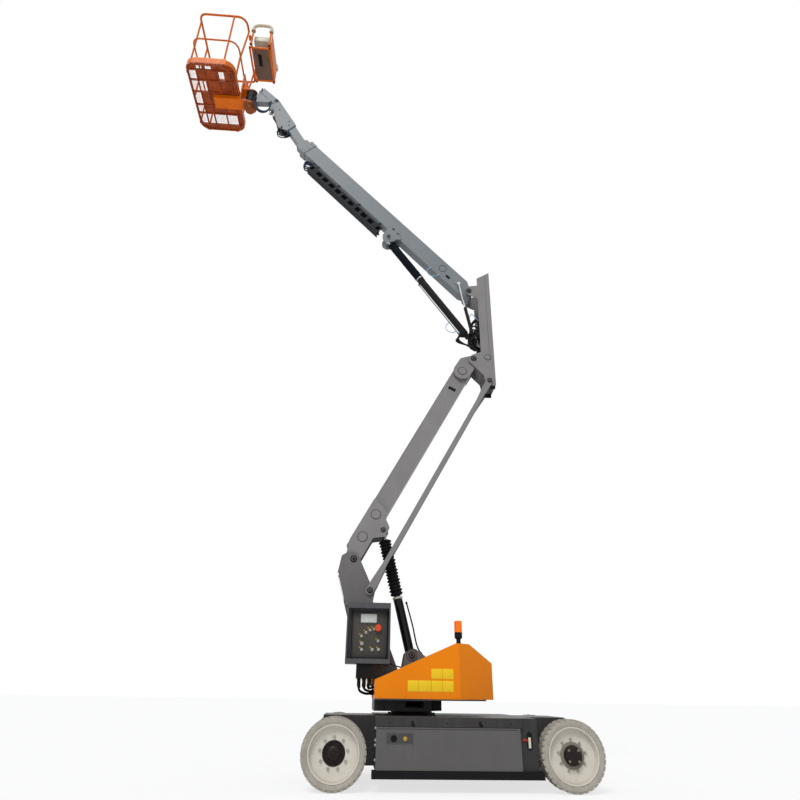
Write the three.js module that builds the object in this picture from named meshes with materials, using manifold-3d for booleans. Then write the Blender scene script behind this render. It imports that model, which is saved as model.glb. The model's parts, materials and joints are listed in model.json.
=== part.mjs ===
// Articulating boom lift: a narrow electric machine with four wheels, a turntable,
// a parallelogram lower boom, a telescoping main boom and a rotating platform.
// Millimetres, +Z up. While it is built, X runs from the platform end (-X) to the tail (+X),
// Y across the machine (left side is -Y) and the axles stand at X = +-WHEELBASE / 2.
// The exported group is shifted so that its origin is on the ground under the middle of the parked length.
import * as THREE from "three";
import { mergeVertices } from "three/addons/utils/BufferGeometryUtils.js";
import Module from "manifold-3d";

const wasm = await Module();
wasm.setup();

// ---------------------------------------------------------------- driving dimensions
const PARKED_CENTRE_X = -1300; // middle of the parked length, seen from the wheelbase's middle
const GAP = 0.5; // between pieces that touch
const RUNNING = 1; // radial clearance of a pin in its plates
const SIDE_PLAY = 6; // between plates that pass each other

const WHEELBASE = 2060;
const OVERALL_WIDTH = 1410;
const TYRE_DIAMETER = 559;
const TYRE_WIDTH = 178;
const RIM_RADIUS = 225;
const HUB_RADIUS = 78;

const DECK_HEIGHT = 558; // top of the chassis
const BELLY_HEIGHT = 160; // underside of the chassis
const STEER_ROOM = 70.5; // between the body and a front tyre that points ahead
const TYRE_ROOM = 15.5; // between the body and a rear tyre
const SILL_SHORT = 135; // the sill and the doors end ahead of the body
const BODY_FRONT = (TYRE_DIAMETER - WHEELBASE) / 2 + STEER_ROOM;
const BODY_REAR = (WHEELBASE - TYRE_DIAMETER) / 2 - TYRE_ROOM;
const SILL_REAR = BODY_REAR - SILL_SHORT;
const BODY_HALF_WIDTH = 648;
const NOSE_HALF_WIDTH = 290;
const NOSE_REACH = 120; // how far the narrow ends pass their axles
const PLATE = 10; // chassis plate
const SILL = 78; // side band above a door
const DOOR_THICKNESS = 26;
const DOOR_SHEET = 4;
const RAIL_HEIGHT = 60;
const KINGPIN_OFFSET = 100; // from the wheel's middle plane

const SLEW_X = -315;
const SLEW_RING_RADIUS = 200;
const SLEW_RING_TOP = 593;
const TAIL_RADIUS = 700;
const TABLE_TOP = 697; // deck of the turntable
const TABLE_HALF_WIDTH = 480;

const CHEEK_IN = 126; // half the space between the turret's and the upright's side plates
const CHEEK = 14; // thickness of those plates
const CHEEK_OUT = CHEEK_IN + CHEEK;
const LINK_IN = CHEEK_OUT + SIDE_PLAY;
const LINK = 14;

const PIVOT_PIN = 28; // radius of the booms' pivot pins
const LINK_PIN = 20;
const CYLINDER_PIN = 24;
const LEVEL_PIN = 12;

const LOWER_PIVOT = [-946, 2006];
const LOWER_LENGTH = 2897;
const LOWER_ANGLE = 61.26;
const LOWER_UNDER = 61; // the pivot line to the boom's underside
const LOWER_OVER = 149; // and to its upper side
const LOWER_WIDTH = 150;
const LOWER_WALL = 8;
const LINK_OFFSET = [183, -318]; // from a boom pivot to the parallel link's pivot
const LINK_DEPTH = 46;

const LOWER_CYLINDER_FOOT = [-325, 1083];
const LOWER_CYLINDER_EYE = { along: 431, under: 112 };
const LOWER_BARREL_RADIUS = 48;
const LOWER_BARREL_LENGTH = 585;
const BELLOWS_RADIUS = 68;

const UPRIGHT_FRONT = 544;
const UPRIGHT_BACK = 712;
const UPRIGHT_FOOT = 4171;
const UPRIGHT_TOP = 5928;
const UPRIGHT_SLANT = 107; // the top edge falls by this much towards the front

const MAIN_PIVOT = [425, 5606];
const MAIN_ANGLE = 47.355;
const MAIN_LENGTH = 3600;
const MAIN_OVER = 141;
const MAIN_UNDER = 94;
const MAIN_WIDTH = 140;
const MAIN_WALL = 6;
const WEAR_GAP = 8; // between the outer and the sliding boom
const MAIN_EYE = { along: 1418, under: 189 };
const MAIN_CYLINDER_FOOT = [467, 4869];
const MAIN_BARREL_RADIUS = 45;
const MAIN_BARREL_LENGTH = 1213;

const LEVEL_Y = -97; // the levelling cylinder's plane
const LEVEL_FOOT = [450, 4955];
const LEVEL_EYE = [298, 5750];

const FLY_TAIL = 330; // where the retracted sliding boom starts, along the main boom
const FLY_END = 3700; // where its nose starts
const HEAD_PIN = { along: 4689, over: 278.5 };

const ROTATOR_X = -2960;
const ROTATOR_RADIUS = 90;
const ROTATOR_BOTTOM = 9205;
const ROTATOR_TOP = 9443;

const PLATFORM_FRONT = -3885;
const PLATFORM_BACK = -3145;
const PLATFORM_HALF = 590;
const FLOOR_Z = 9260; // underside of the platform's floor
const FLOOR_THICKNESS = 34;
const TOE_HEIGHT = 135;
const MID_RAIL_Z = 9900;
const TOP_RAIL_Z = 10553;
const RAIL_TUBE = 17; // radius of the platform's top rail
const ENTRY_X = [-3760, -3270]; // the entry is at the platform's far end

const ROUND = 24; // sides of a large cylinder
const SMALL_ROUND = 12; // sides of a pin or a tube

// ---------------------------------------------------------------- materials
const paint = (color, roughness = 0.45, metalness = 0.1) =>
  new THREE.MeshStandardMaterial({ color, roughness, metalness });
const greyPaint = paint(0x77767a);
const charcoalPaint = paint(0x58595a);
const blackPaint = paint(0x1b1c1e);
const orangePaint = paint(0xee8a10);
const creamPaint = paint(0xdeddd4);
const tyreRubber = paint(0xb9b7ae, 0.85, 0);
const blackRubber = paint(0x18181a, 0.8, 0);
const bareSteel = paint(0xd5d7da, 0.2, 1);
const castIron = paint(0x3a3a3a, 0.7, 0.3);
const amber = paint(0xff8a1a, 0.2, 0);
const caseGrey = paint(0x4b4d52, 0.6, 0);

// ---------------------------------------------------------------- solids
// A closed geometry as a manifold solid.
function solid(geometry) {
  const bare = geometry.index ? geometry.toNonIndexed() : geometry.clone();
  for (const name of Object.keys(bare.attributes)) if (name !== "position") bare.deleteAttribute(name);
  const merged = mergeVertices(bare, 1e-3);
  return new wasm.Manifold(
    new wasm.Mesh({
      numProp: 3,
      vertProperties: merged.attributes.position.array,
      triVerts: new Uint32Array(merged.index.array),
    }),
  );
}

const joined = (first, ...others) => others.reduce((sum, next) => sum.add(next), first);
const without = (first, ...others) => others.reduce((rest, next) => rest.subtract(next), first);

function box([x0, x1], [y0, y1], [z0, z1]) {
  const geometry = new THREE.BoxGeometry(x1 - x0, y1 - y0, z1 - z0);
  return solid(geometry.translate((x0 + x1) / 2, (y0 + y1) / 2, (z0 + z1) / 2));
}

// A cylinder from point a to point b.
function rod(a, b, radius, sides = SMALL_ROUND, endRadius = radius) {
  const from = new THREE.Vector3(...a);
  const to = new THREE.Vector3(...b);
  const way = to.clone().sub(from);
  const geometry = new THREE.CylinderGeometry(endRadius, radius, way.length(), sides);
  const turn = new THREE.Quaternion().setFromUnitVectors(new THREE.Vector3(0, 1, 0), way.normalize());
  return solid(geometry.applyQuaternion(turn).translate(...from.add(to).multiplyScalar(0.5)));
}

// A pin along Y through the point [x, z].
const pin = ([x, z], y0, y1, radius, sides = SMALL_ROUND) => rod([x, y0, z], [x, y1, z], radius, sides);

// A 2D outline whose corners [x, y, radius] are rounded.
function outline(corners) {
  const shape = new THREE.Shape();
  const count = corners.length;
  corners.forEach(([x, y, radius = 0], i) => {
    const here = new THREE.Vector2(x, y);
    const [before, after] = [corners[(i + count - 1) % count], corners[(i + 1) % count]].map(
      ([ox, oy]) => new THREE.Vector2(ox, oy).sub(here),
    );
    const half = Math.abs(before.angleTo(after)) / 2;
    const cut = radius / Math.tan(half);
    const start = here.clone().add(before.setLength(cut));
    const end = here.clone().add(after.setLength(cut));
    if (i === 0) shape.moveTo(start.x, start.y);
    else shape.lineTo(start.x, start.y);
    if (radius > 0) {
      const centre = here.clone().add(before.add(after).setLength(radius / Math.sin(half)));
      const a0 = Math.atan2(start.y - centre.y, start.x - centre.x);
      const a1 = Math.atan2(end.y - centre.y, end.x - centre.x);
      const turn = Math.atan2(Math.sin(a1 - a0), Math.cos(a1 - a0));
      shape.absarc(centre.x, centre.y, radius, a0, a0 + turn, turn < 0);
    }
  });
  shape.closePath();
  return shape;
}

// A plate whose outline lies in the XZ plane, from y0 to y1.
function plate(corners, y0, y1, curveSegments = 5) {
  const options = { depth: y1 - y0, bevelEnabled: false, curveSegments };
  const geometry = new THREE.ExtrudeGeometry(outline(corners), options);
  return solid(geometry.rotateX(Math.PI / 2).translate(0, y1, 0));
}

// A plate whose outline lies in the XY plane, from z0 to z1.
function slab(corners, z0, z1, curveSegments = 5) {
  const options = { depth: z1 - z0, bevelEnabled: false, curveSegments };
  return solid(new THREE.ExtrudeGeometry(outline(corners), options).translate(0, 0, z0));
}

// A pair of like solids on both sides of the machine's middle plane.
const bothSides = (make) => joined(make(1), make(-1));
const span = (side, a, b) => (side > 0 ? [a, b] : [-b, -a]);

// A path through listed points: every step of an extrusion lands on one of them.
class PointPath extends THREE.Curve {
  constructor(points) {
    super();
    this.points = points;
  }

  indexAt(t) {
    return Math.round(t * (this.points.length - 1));
  }

  getPoint(t) {
    return this.points[this.indexAt(t)].clone();
  }

  getPointAt(t) {
    return this.getPoint(t);
  }

  getSpacedPoints() {
    return this.points.map((point) => point.clone());
  }

  getTangent(t) {
    const here = this.indexAt(t);
    const last = this.points.length - 1;
    const step = (i) => this.points[i + 1].clone().sub(this.points[i]).normalize();
    const into = step(Math.max(here - 1, 0));
    const out = step(Math.min(here, last - 1));
    return into.add(out).normalize();
  }

  getTangentAt(t) {
    return this.getTangent(t);
  }
}

// A round bar along points, with its corners [x, y, z, bend] rounded.
function bentTube(corners, radius, sides = 8, steps = 4) {
  const at = corners.map(([x, y, z]) => new THREE.Vector3(x, y, z));
  const points = [at[0]];
  for (let i = 1; i < at.length - 1; i += 1) {
    const bend = corners[i][3];
    const into = at[i - 1].clone().sub(at[i]).normalize();
    const out = at[i + 1].clone().sub(at[i]).normalize();
    const half = into.angleTo(out) / 2;
    const cut = bend / Math.tan(half);
    const centre = at[i].clone().add(into.clone().add(out).setLength(bend / Math.sin(half)));
    const start = at[i].clone().addScaledVector(into, cut).sub(centre);
    const end = at[i].clone().addScaledVector(out, cut).sub(centre);
    const turn = start.angleTo(end);
    for (let k = 0; k <= steps; k += 1) {
      const share = k / steps;
      const a = Math.sin((1 - share) * turn) / Math.sin(turn);
      const b = Math.sin(share * turn) / Math.sin(turn);
      points.push(start.clone().multiplyScalar(a).addScaledVector(end, b).add(centre));
    }
  }
  points.push(at[at.length - 1]);
  const ring = new THREE.Shape().absarc(0, 0, radius, 0, 2 * Math.PI);
  const geometry = new THREE.ExtrudeGeometry(ring, {
    steps: points.length - 1,
    curveSegments: sides,
    bevelEnabled: false,
    extrudePath: new PointPath(points),
  });
  const made = solid(geometry);
  return made;
}

const RAD = Math.PI / 180;

// A frame that runs along a boom: `at` gives the XZ point a distance along and over its pivot line.
function boomLine([x, z], angle, towards) {
  const way = [towards * Math.cos(angle * RAD), Math.sin(angle * RAD)];
  const over = [-towards * Math.sin(angle * RAD), Math.cos(angle * RAD)].map((v) => v);
  return {
    way,
    at: (along, above = 0, radius = 0) => [
      x + way[0] * along + over[0] * above,
      z + way[1] * along + over[1] * above,
      radius,
    ],
    beam(along, above, y0, y1) {
      const corners = [
        [along[0], above[0]],
        [along[1], above[0]],
        [along[1], above[1]],
        [along[0], above[1]],
      ];
      return plate(corners.map(([a, b]) => this.at(a, b)), y0, y1);
    },
  };
}

const shift = ([x, z], [dx, dz]) => [x + dx, z + dz];
const between = (a, b, share) => [a[0] + (b[0] - a[0]) * share, a[1] + (b[1] - a[1]) * share];
const distance = (a, b) => Math.hypot(b[0] - a[0], b[1] - a[1]);

const part = new THREE.Group();
part.position.x = -PARKED_CENTRE_X;

// Adds one named mesh of a solid.
let carried = [0, 0, 0]; // how far the pieces that are added now go with what they stand on
function add(name, made, material) {
  const { vertProperties, triVerts } = made.translate(carried).asOriginal().simplify(0.05).getMesh();
  const geometry = new THREE.BufferGeometry();
  geometry.setAttribute("position", new THREE.BufferAttribute(vertProperties, 3));
  geometry.setIndex(new THREE.BufferAttribute(triVerts, 1));
  geometry.computeVertexNormals();
  const mesh = new THREE.Mesh(geometry, material);
  mesh.name = name;
  part.add(mesh);
}

// ---------------------------------------------------------------- chassis
const TYRE_RADIUS = TYRE_DIAMETER / 2;
const WHEEL_Y = (OVERALL_WIDTH - TYRE_WIDTH) / 2;
const KINGPIN_Y = WHEEL_Y - KINGPIN_OFFSET;
const FRONT_AXLE = -WHEELBASE / 2;
const REAR_AXLE = WHEELBASE / 2;
const DOOR_FACE = BODY_HALF_WIDTH + 8 + DOOR_THICKNESS;
const DOOR_BOTTOM = BELLY_HEIGHT + 2;
const DOOR_TOP = DECK_HEIGHT - SILL;

function beamSpace(x, half, z0, z1, reach) {
  return box([x - half, x + half], [-reach, reach], [z0, z1]);
}

const STEER_BEAM = { half: 60, low: 205, high: 320 };
const DRIVE_BEAM = { half: 75, low: 205, high: 350 };

function chassisFrame() {
  const wide = [-BODY_HALF_WIDTH, BODY_HALF_WIDTH];
  const hull = joined(
    box([BODY_FRONT, BODY_REAR], wide, [BELLY_HEIGHT, DECK_HEIGHT]),
    box(
      [FRONT_AXLE - NOSE_REACH, REAR_AXLE + NOSE_REACH - 40],
      [-NOSE_HALF_WIDTH, NOSE_HALF_WIDTH],
      [BELLY_HEIGHT, DECK_HEIGHT],
    ),
    box([BODY_FRONT, SILL_REAR], [-DOOR_FACE, DOOR_FACE], [DOOR_TOP + 4, DECK_HEIGHT]),
  );
  const inner = [BELLY_HEIGHT + PLATE, DECK_HEIGHT - PLATE];
  const bays = bothSides((side) =>
    joined(
      box([BODY_FRONT + PLATE, BODY_REAR - PLATE], span(side, NOSE_HALF_WIDTH, BODY_HALF_WIDTH - PLATE), inner),
      box(
        [BODY_FRONT + 45, SILL_REAR - 60],
        span(side, NOSE_HALF_WIDTH, DOOR_FACE + 10),
        [BELLY_HEIGHT + PLATE, DOOR_TOP - 30],
      ),
    ),
  );
  const sideWall = NOSE_HALF_WIDTH - PLATE;
  const rooms = [
    [FRONT_AXLE - NOSE_REACH + PLATE, BODY_FRONT - PLATE / 2],
    [BODY_FRONT + PLATE / 2, BODY_REAR - PLATE / 2],
    [BODY_REAR + PLATE / 2, REAR_AXLE + NOSE_REACH - 40 - PLATE],
  ].map((x) => box(x, [-sideWall, sideWall], inner));
  const hatches = [FRONT_AXLE, 0, REAR_AXLE].map((x) => box([x - 90, x + 90], [-90, 90], [0, BELLY_HEIGHT + 50]));
  const axles = [
    beamSpace(FRONT_AXLE, STEER_BEAM.half + GAP, STEER_BEAM.low - GAP, STEER_BEAM.high + GAP, 400),
    beamSpace(REAR_AXLE, DRIVE_BEAM.half + GAP, DRIVE_BEAM.low - GAP, DRIVE_BEAM.high + GAP, 400),
  ];
  return without(hull, bays, ...rooms, ...hatches, ...axles);
}
add("chassis_frame", chassisFrame(), charcoalPaint);

function door(side) {
  const y = (a, b) => span(side, a, b);
  const x = [BODY_FRONT + 5, SILL_REAR - 20];
  const pan = box(x, y(DOOR_FACE - DOOR_THICKNESS, DOOR_FACE), [DOOR_BOTTOM, DOOR_TOP]);
  const inside = box(
    [x[0] + DOOR_SHEET, x[1] - DOOR_SHEET],
    y(DOOR_FACE - DOOR_THICKNESS - 1, DOOR_FACE - DOOR_SHEET),
    [DOOR_BOTTOM + DOOR_SHEET, DOOR_TOP - DOOR_SHEET],
  );
  return without(pan, inside);
}

for (const [name, side] of [["left", -1], ["right", 1]]) {
  add(`${name}_door`, door(side), charcoalPaint);
  const rail = box(
    [FRONT_AXLE + 325, REAR_AXLE - TYRE_RADIUS + 15],
    span(side, DOOR_FACE - 90, DOOR_FACE + 8),
    [BELLY_HEIGHT - RAIL_HEIGHT, BELLY_HEIGHT - GAP],
  );
  add(`${name}_side_rail`, rail, blackPaint);
  const pack = box(
    [BODY_FRONT + 70, SILL_REAR - 90],
    span(side, NOSE_HALF_WIDTH + 6, NOSE_HALF_WIDTH + 316),
    [BELLY_HEIGHT + PLATE + GAP, BELLY_HEIGHT + PLATE + 265],
  );
  add(`${name}_battery_pack`, pack, blackPaint);
}

const ballast = box([-560, 480], [-235, 235], [BELLY_HEIGHT + PLATE + GAP, BELLY_HEIGHT + PLATE + 255]);
add("chassis_ballast", ballast, castIron);

// ---------------------------------------------------------------- axles and wheels
function steerAxle() {
  const beam = beamSpace(FRONT_AXLE, STEER_BEAM.half, STEER_BEAM.low, STEER_BEAM.high, KINGPIN_Y);
  const bosses = bothSides((side) =>
    rod([FRONT_AXLE, side * KINGPIN_Y, STEER_BEAM.low], [FRONT_AXLE, side * KINGPIN_Y, STEER_BEAM.high], 45),
  );
  const corners = bothSides((side) =>
    box([FRONT_AXLE - 100, FRONT_AXLE + 100], span(side, KINGPIN_Y, KINGPIN_Y + 60), [0, DECK_HEIGHT]),
  );
  return joined(without(beam, corners), bosses);
}
add("steer_axle", steerAxle(), blackPaint);

function driveAxle() {
  const inner = WHEEL_Y - TYRE_WIDTH / 2;
  const beam = beamSpace(REAR_AXLE, DRIVE_BEAM.half, DRIVE_BEAM.low, DRIVE_BEAM.high, inner - 30);
  const motors = bothSides((side) =>
    rod([REAR_AXLE, side * 300, TYRE_RADIUS], [REAR_AXLE, side * (WHEEL_Y - 32), TYRE_RADIUS], 95, ROUND),
  );
  return joined(beam, motors);
}
const driveAxleSolid = driveAxle();
add("drive_axle", driveAxleSolid, blackPaint);

const KNUCKLE_ARM = { thickness: 18, gap: 2, reach: 150, inwards: 40 };

function knuckle(side) {
  const y = (a, b) => span(side, a, b);
  const high = STEER_BEAM.high + KNUCKLE_ARM.gap;
  const low = STEER_BEAM.low - KNUCKLE_ARM.gap;
  const yoke = box([FRONT_AXLE - 45, FRONT_AXLE + 45], y(KINGPIN_Y + 52, KINGPIN_Y + 72), [
    low - KNUCKLE_ARM.thickness,
    high + KNUCKLE_ARM.thickness,
  ]);
  const arms = [
    [high, high + KNUCKLE_ARM.thickness],
    [low - KNUCKLE_ARM.thickness, low],
  ].map((z) =>
    joined(
      box([FRONT_AXLE - 45, FRONT_AXLE + 45], y(KINGPIN_Y, KINGPIN_Y + 72), z),
      rod([FRONT_AXLE, side * KINGPIN_Y, z[0]], [FRONT_AXLE, side * KINGPIN_Y, z[1]], 45),
    ),
  );
  const spindle = rod(
    [FRONT_AXLE, side * (KINGPIN_Y + 60), TYRE_RADIUS],
    [FRONT_AXLE, side * (WHEEL_Y - 10), TYRE_RADIUS],
    38,
    ROUND,
  );
  const eyeY = KINGPIN_Y - KNUCKLE_ARM.inwards;
  const steerArm = slab(
    [
      [FRONT_AXLE, side * (KINGPIN_Y + 20)],
      [FRONT_AXLE - KNUCKLE_ARM.reach - 16, side * (eyeY + 16)],
      [FRONT_AXLE - KNUCKLE_ARM.reach - 16, side * (eyeY - 16)],
      [FRONT_AXLE, side * (KINGPIN_Y - 24)],
    ],
    low - KNUCKLE_ARM.thickness,
    low,
  );
  return joined(yoke, ...arms, spindle, steerArm);
}
add("left_knuckle", knuckle(-1), blackPaint);
add("right_knuckle", knuckle(1), blackPaint);

function tieRod() {
  const x = FRONT_AXLE - KNUCKLE_ARM.reach;
  const z = STEER_BEAM.low - KNUCKLE_ARM.gap - KNUCKLE_ARM.thickness - 14;
  const eyeY = KINGPIN_Y - KNUCKLE_ARM.inwards;
  const eyes = bothSides((side) => rod([x, side * eyeY, z - 12], [x, side * eyeY, z + 12], 14));
  return joined(rod([x, -eyeY, z], [x, eyeY, z], 12), eyes);
}
add("tie_rod", tieRod(), blackPaint);

// A ring turned about the wheel's axle: profile points are [radius, distance outwards].
function turned(profile, x, y, outwards, sides = 36) {
  const points = [...profile, profile[0]].map(([r, d]) => new THREE.Vector2(r, d));
  const geometry = new THREE.LatheGeometry(points, sides);
  let made = solid(geometry);
  if (made.volume() < 0) {
    points.reverse();
    made = solid(new THREE.LatheGeometry(points, sides));
  }
  return made.rotate([outwards > 0 ? 0 : 180, 0, 0]).translate([x, y, TYRE_RADIUS]);
}

const HALF_TYRE = TYRE_WIDTH / 2;
const tyreProfile = [
  [RIM_RADIUS + GAP, -HALF_TYRE + 8],
  [TYRE_RADIUS - 16, -HALF_TYRE],
  [TYRE_RADIUS - 4, -HALF_TYRE + 9],
  [TYRE_RADIUS, -HALF_TYRE + 26],
  [TYRE_RADIUS, HALF_TYRE - 26],
  [TYRE_RADIUS - 4, HALF_TYRE - 9],
  [TYRE_RADIUS - 16, HALF_TYRE],
  [RIM_RADIUS + GAP, HALF_TYRE - 8],
];
const DISC_OUT = 34; // the rim's disc, outwards of the wheel's middle plane
const rimProfile = (bore) => [
  [bore, DISC_OUT - 12],
  [196, DISC_OUT - 12],
  [RIM_RADIUS - 9, DISC_OUT - 32],
  [RIM_RADIUS - 9, -HALF_TYRE + 6],
  [RIM_RADIUS, -HALF_TYRE + 6],
  [RIM_RADIUS, HALF_TYRE - 6],
  [RIM_RADIUS - 8, HALF_TYRE - 6],
  [RIM_RADIUS - 14, DISC_OUT + 22],
  [188, DISC_OUT],
  [bore, DISC_OUT],
];
const hubProfile = (reach) => [
  [42, DISC_OUT - 40],
  [HUB_RADIUS + 14, DISC_OUT - 40],
  [HUB_RADIUS + 14, DISC_OUT - 8],
  [HUB_RADIUS, DISC_OUT - 8],
  [HUB_RADIUS - 4, DISC_OUT + reach - 10],
  [HUB_RADIUS - 16, DISC_OUT + reach],
  [0, DISC_OUT + reach],
  [0, DISC_OUT - 6],
  [42, DISC_OUT - 6],
];

function wheel(x, side, reach) {
  const place = [x, side * WHEEL_Y, side];
  return joined(turned(rimProfile(HUB_RADIUS - 2), ...place), turned(hubProfile(reach), ...place, 20));
}

for (const [end, x, reach] of [["front", FRONT_AXLE, 44], ["rear", REAR_AXLE, 50]]) {
  for (const [hand, side] of [["left", -1], ["right", 1]]) {
    add(`${end}_${hand}_tyre`, turned(tyreProfile, x, side * WHEEL_Y, side), tyreRubber);
    add(`${end}_${hand}_wheel`, wheel(x, side, reach), creamPaint);
  }
}

// ---------------------------------------------------------------- turntable
const ring = (radius, z0, z1, sides = ROUND) => rod([SLEW_X, 0, z0], [SLEW_X, 0, z1], radius, sides);
add("slew_ring", ring(SLEW_RING_RADIUS, DECK_HEIGHT + GAP, SLEW_RING_TOP), blackPaint);

// The deck's tail is round about the slew axis, so that it stays within the chassis' width.
const tailCut = (z0, z1) => ring(TAIL_RADIUS, z0, z1, 64);
const COLUMN_SLOPE = 0.29; // how far the column's front leans forwards for each millimetre up
const COLUMN_KINK = [-853, 988]; // below this its front runs back to the deck
const LEDGE_Z = 1860;
const columnFront = (z) => COLUMN_KINK[0] + (z > COLUMN_KINK[1] ? COLUMN_SLOPE : 0.75) * (COLUMN_KINK[1] - z);
const columnBack = (z) => -728 + 0.418 * (1585 - z);
const linkFoot = shift(LOWER_PIVOT, LINK_OFFSET);

function turntableFrame() {
  const base = without(
    box([-690, -155], [-345, 345], [SLEW_RING_TOP + GAP, TABLE_TOP]),
    box([-678, -167], [-333, 333], [SLEW_RING_TOP + 18, TABLE_TOP - 12]),
    box([-400, -230], [-400, 400], [SLEW_RING_TOP + 30, TABLE_TOP - 24]),
  );
  const deckHalf = TABLE_HALF_WIDTH;
  const deck = slab(
    [
      [-690, -deckHalf],
      [80, -deckHalf],
      [380, -250],
      [380, 250],
      [80, deckHalf],
      [-690, deckHalf],
    ],
    TABLE_TOP - 12,
    TABLE_TOP,
  );
  const columnSide = [
    [columnFront(TABLE_TOP - 5), TABLE_TOP - 5],
    COLUMN_KINK,
    [columnFront(LEDGE_Z), LEDGE_Z],
    [LOWER_PIVOT[0] - 126, LOWER_PIVOT[1] + 34, 12],
    [LOWER_PIVOT[0] - 70, LOWER_PIVOT[1] + 66, 40],
    [LOWER_PIVOT[0] + 20, LOWER_PIVOT[1] + 78, 50],
    [LOWER_PIVOT[0] + 78, LOWER_PIVOT[1] - 20, 40],
    [linkFoot[0] + 6, linkFoot[1] + 66, 40],
    [linkFoot[0] + 56, linkFoot[1] + 6, 40],
    [linkFoot[0] + 46, linkFoot[1] - 56, 30],
    [columnBack(1585), 1585],
    [columnBack(TABLE_TOP - 5), TABLE_TOP - 5],
  ];
  const column = without(
    plate(columnSide, -CHEEK_OUT, CHEEK_OUT),
    plate(
      [
        [columnFront(TABLE_TOP - 5) + 12, TABLE_TOP - 6],
        [columnFront(1600) + 12, 1600],
        [columnBack(1600) - 12, 1600],
        [columnBack(TABLE_TOP - 5) - 12, TABLE_TOP - 6],
      ],
      -CHEEK_IN,
      CHEEK_IN,
    ),
    box([-1400, 0], [-CHEEK_IN, CHEEK_IN], [1599, 2300]),
  );
  const foot = LOWER_CYLINDER_FOOT;
  const bracket = bothSides((side) =>
    plate(
      [
        [foot[0] - 140, TABLE_TOP - 5],
        [foot[0] - 62, foot[1] + 30, 40],
        [foot[0] + 30, foot[1] + 64, 50],
        [foot[0] + 150, foot[1] - 20],
        [foot[0] + 175, TABLE_TOP - 5],
      ],
      ...span(side, CHEEK_IN, CHEEK_OUT),
    ),
  );
  const foldedFront = bothSides((side) => {
    const along = new THREE.Vector3(-COLUMN_SLOPE, 0, 1).normalize();
    const chamfer = new THREE.BoxGeometry(150, 150, 2600);
    chamfer.rotateZ(Math.PI / 4).rotateY(Math.atan2(along.x, along.z));
    chamfer.translate(columnFront(1200) + 6, side * (CHEEK_OUT + 88), 1200);
    return solid(chamfer);
  });
  const lowered = foldedFront.subtract(box([-1600, 0], [-400, 400], [LEDGE_Z, 3000]));
  const holes = [
    pin(LOWER_PIVOT, -200, 200, PIVOT_PIN + RUNNING),
    pin(linkFoot, -200, 200, LINK_PIN + RUNNING),
    pin(foot, -200, 200, CYLINDER_PIN + RUNNING),
  ];
  return without(joined(base, deck, column.subtract(lowered), bracket), ...holes);
}
const turntable = turntableFrame();
add("turntable_frame", turntable, greyPaint);

const COVER_IN = 190; // inner wall of a side cover
const COVER_OUT = 498;
const COVER_SHEET = 4;
const COVER_FOOT = TABLE_TOP - 4;
const COVER_PEAK = 1172;
const COVER_NOSE_X = -694;
const COVER_TAIL_X = 450;

function coverOutline(inset) {
  return [
    [COVER_NOSE_X + inset, COVER_FOOT - (inset ? 1 : 0)],
    [COVER_NOSE_X + inset, 852 - inset * 0.9, inset ? 0 : 6],
    [62 + inset * 0.3, COVER_PEAK - inset, inset ? 0 : 20],
    [202 - inset * 0.3, COVER_PEAK - inset, inset ? 0 : 20],
    [COVER_TAIL_X - inset, 1014 - inset * 0.4, inset ? 0 : 12],
    [COVER_TAIL_X - inset, COVER_FOOT - (inset ? 1 : 0)],
  ];
}

// The walls angle in towards the tail, inside the circle that the tail sweeps.
function coverPlan(inset) {
  return [
    [COVER_NOSE_X - 20, COVER_IN + inset],
    [COVER_TAIL_X + 20, COVER_IN + inset],
    [COVER_TAIL_X + 20, 236 - inset],
    [92, COVER_OUT - inset],
    [COVER_NOSE_X - 20, COVER_OUT - inset],
  ];
}

function cover(side) {
  const shell = plate(coverOutline(0), -COVER_OUT - 10, COVER_OUT + 10, 3).intersect(
    slab(coverPlan(0).map(([x, y]) => [x, side * y]), 0, 2000),
  );
  const room = plate(coverOutline(COVER_SHEET), -COVER_OUT - 10, COVER_OUT + 10).intersect(
    slab(coverPlan(COVER_SHEET).map(([x, y]) => [x, side * y]), 0, 2000),
  );
  const seat = box([-2000, 2000], [-2000, 2000], [0, TABLE_TOP + GAP]);
  return without(shell, room, seat);
}
add("left_cover", cover(-1), orangePaint);
add("right_cover", cover(1), orangePaint);

// The tail's ballast, in the slot between the covers.
function counterweight() {
  const half = COVER_IN - 4;
  const side = [
    [-110, TABLE_TOP + GAP],
    [-110, 1040],
    [180, 1060],
    [380, 960],
    [380, TABLE_TOP + GAP],
  ];
  return plate(side, -half, half);
}
add("counterweight", counterweight(), castIron);

// Ground control station on the column's left side.
const BOX_X = [-979, -555];
const BOX_Y = [-400, -CHEEK_OUT - 4];
const BOX_Z = [988, 1535];
function controlBox() {
  const shell = box(BOX_X, BOX_Y, BOX_Z);
  const recess = box([BOX_X[0] + 14, BOX_X[1] - 14], [BOX_Y[0] - 1, BOX_Y[0] + 90], [BOX_Z[0] + 40, BOX_Z[1] - 52]);
  return without(shell, recess);
}
add("ground_control_box", controlBox(), greyPaint);
function valveBlock() {
  const block = box([-870, -706], [-372, -CHEEK_OUT - 30], [862, BOX_Z[0] - GAP]);
  const spools = [-840, -790, -740].map((x) => rod([x, -330, 800], [x, -330, 870], 18, 10));
  return joined(block, ...spools);
}
add("valve_block", valveBlock(), blackPaint);

const BEACON = [98, -440];
const beacon = joined(
  rod([...BEACON, COVER_PEAK + GAP], [...BEACON, 1222], 16, 16),
  rod([...BEACON, 1218], [...BEACON, 1273], 38, 24),
  rod([...BEACON, 1270], [...BEACON, 1381], 40, 24),
);
add("beacon", beacon, amber);

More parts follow.
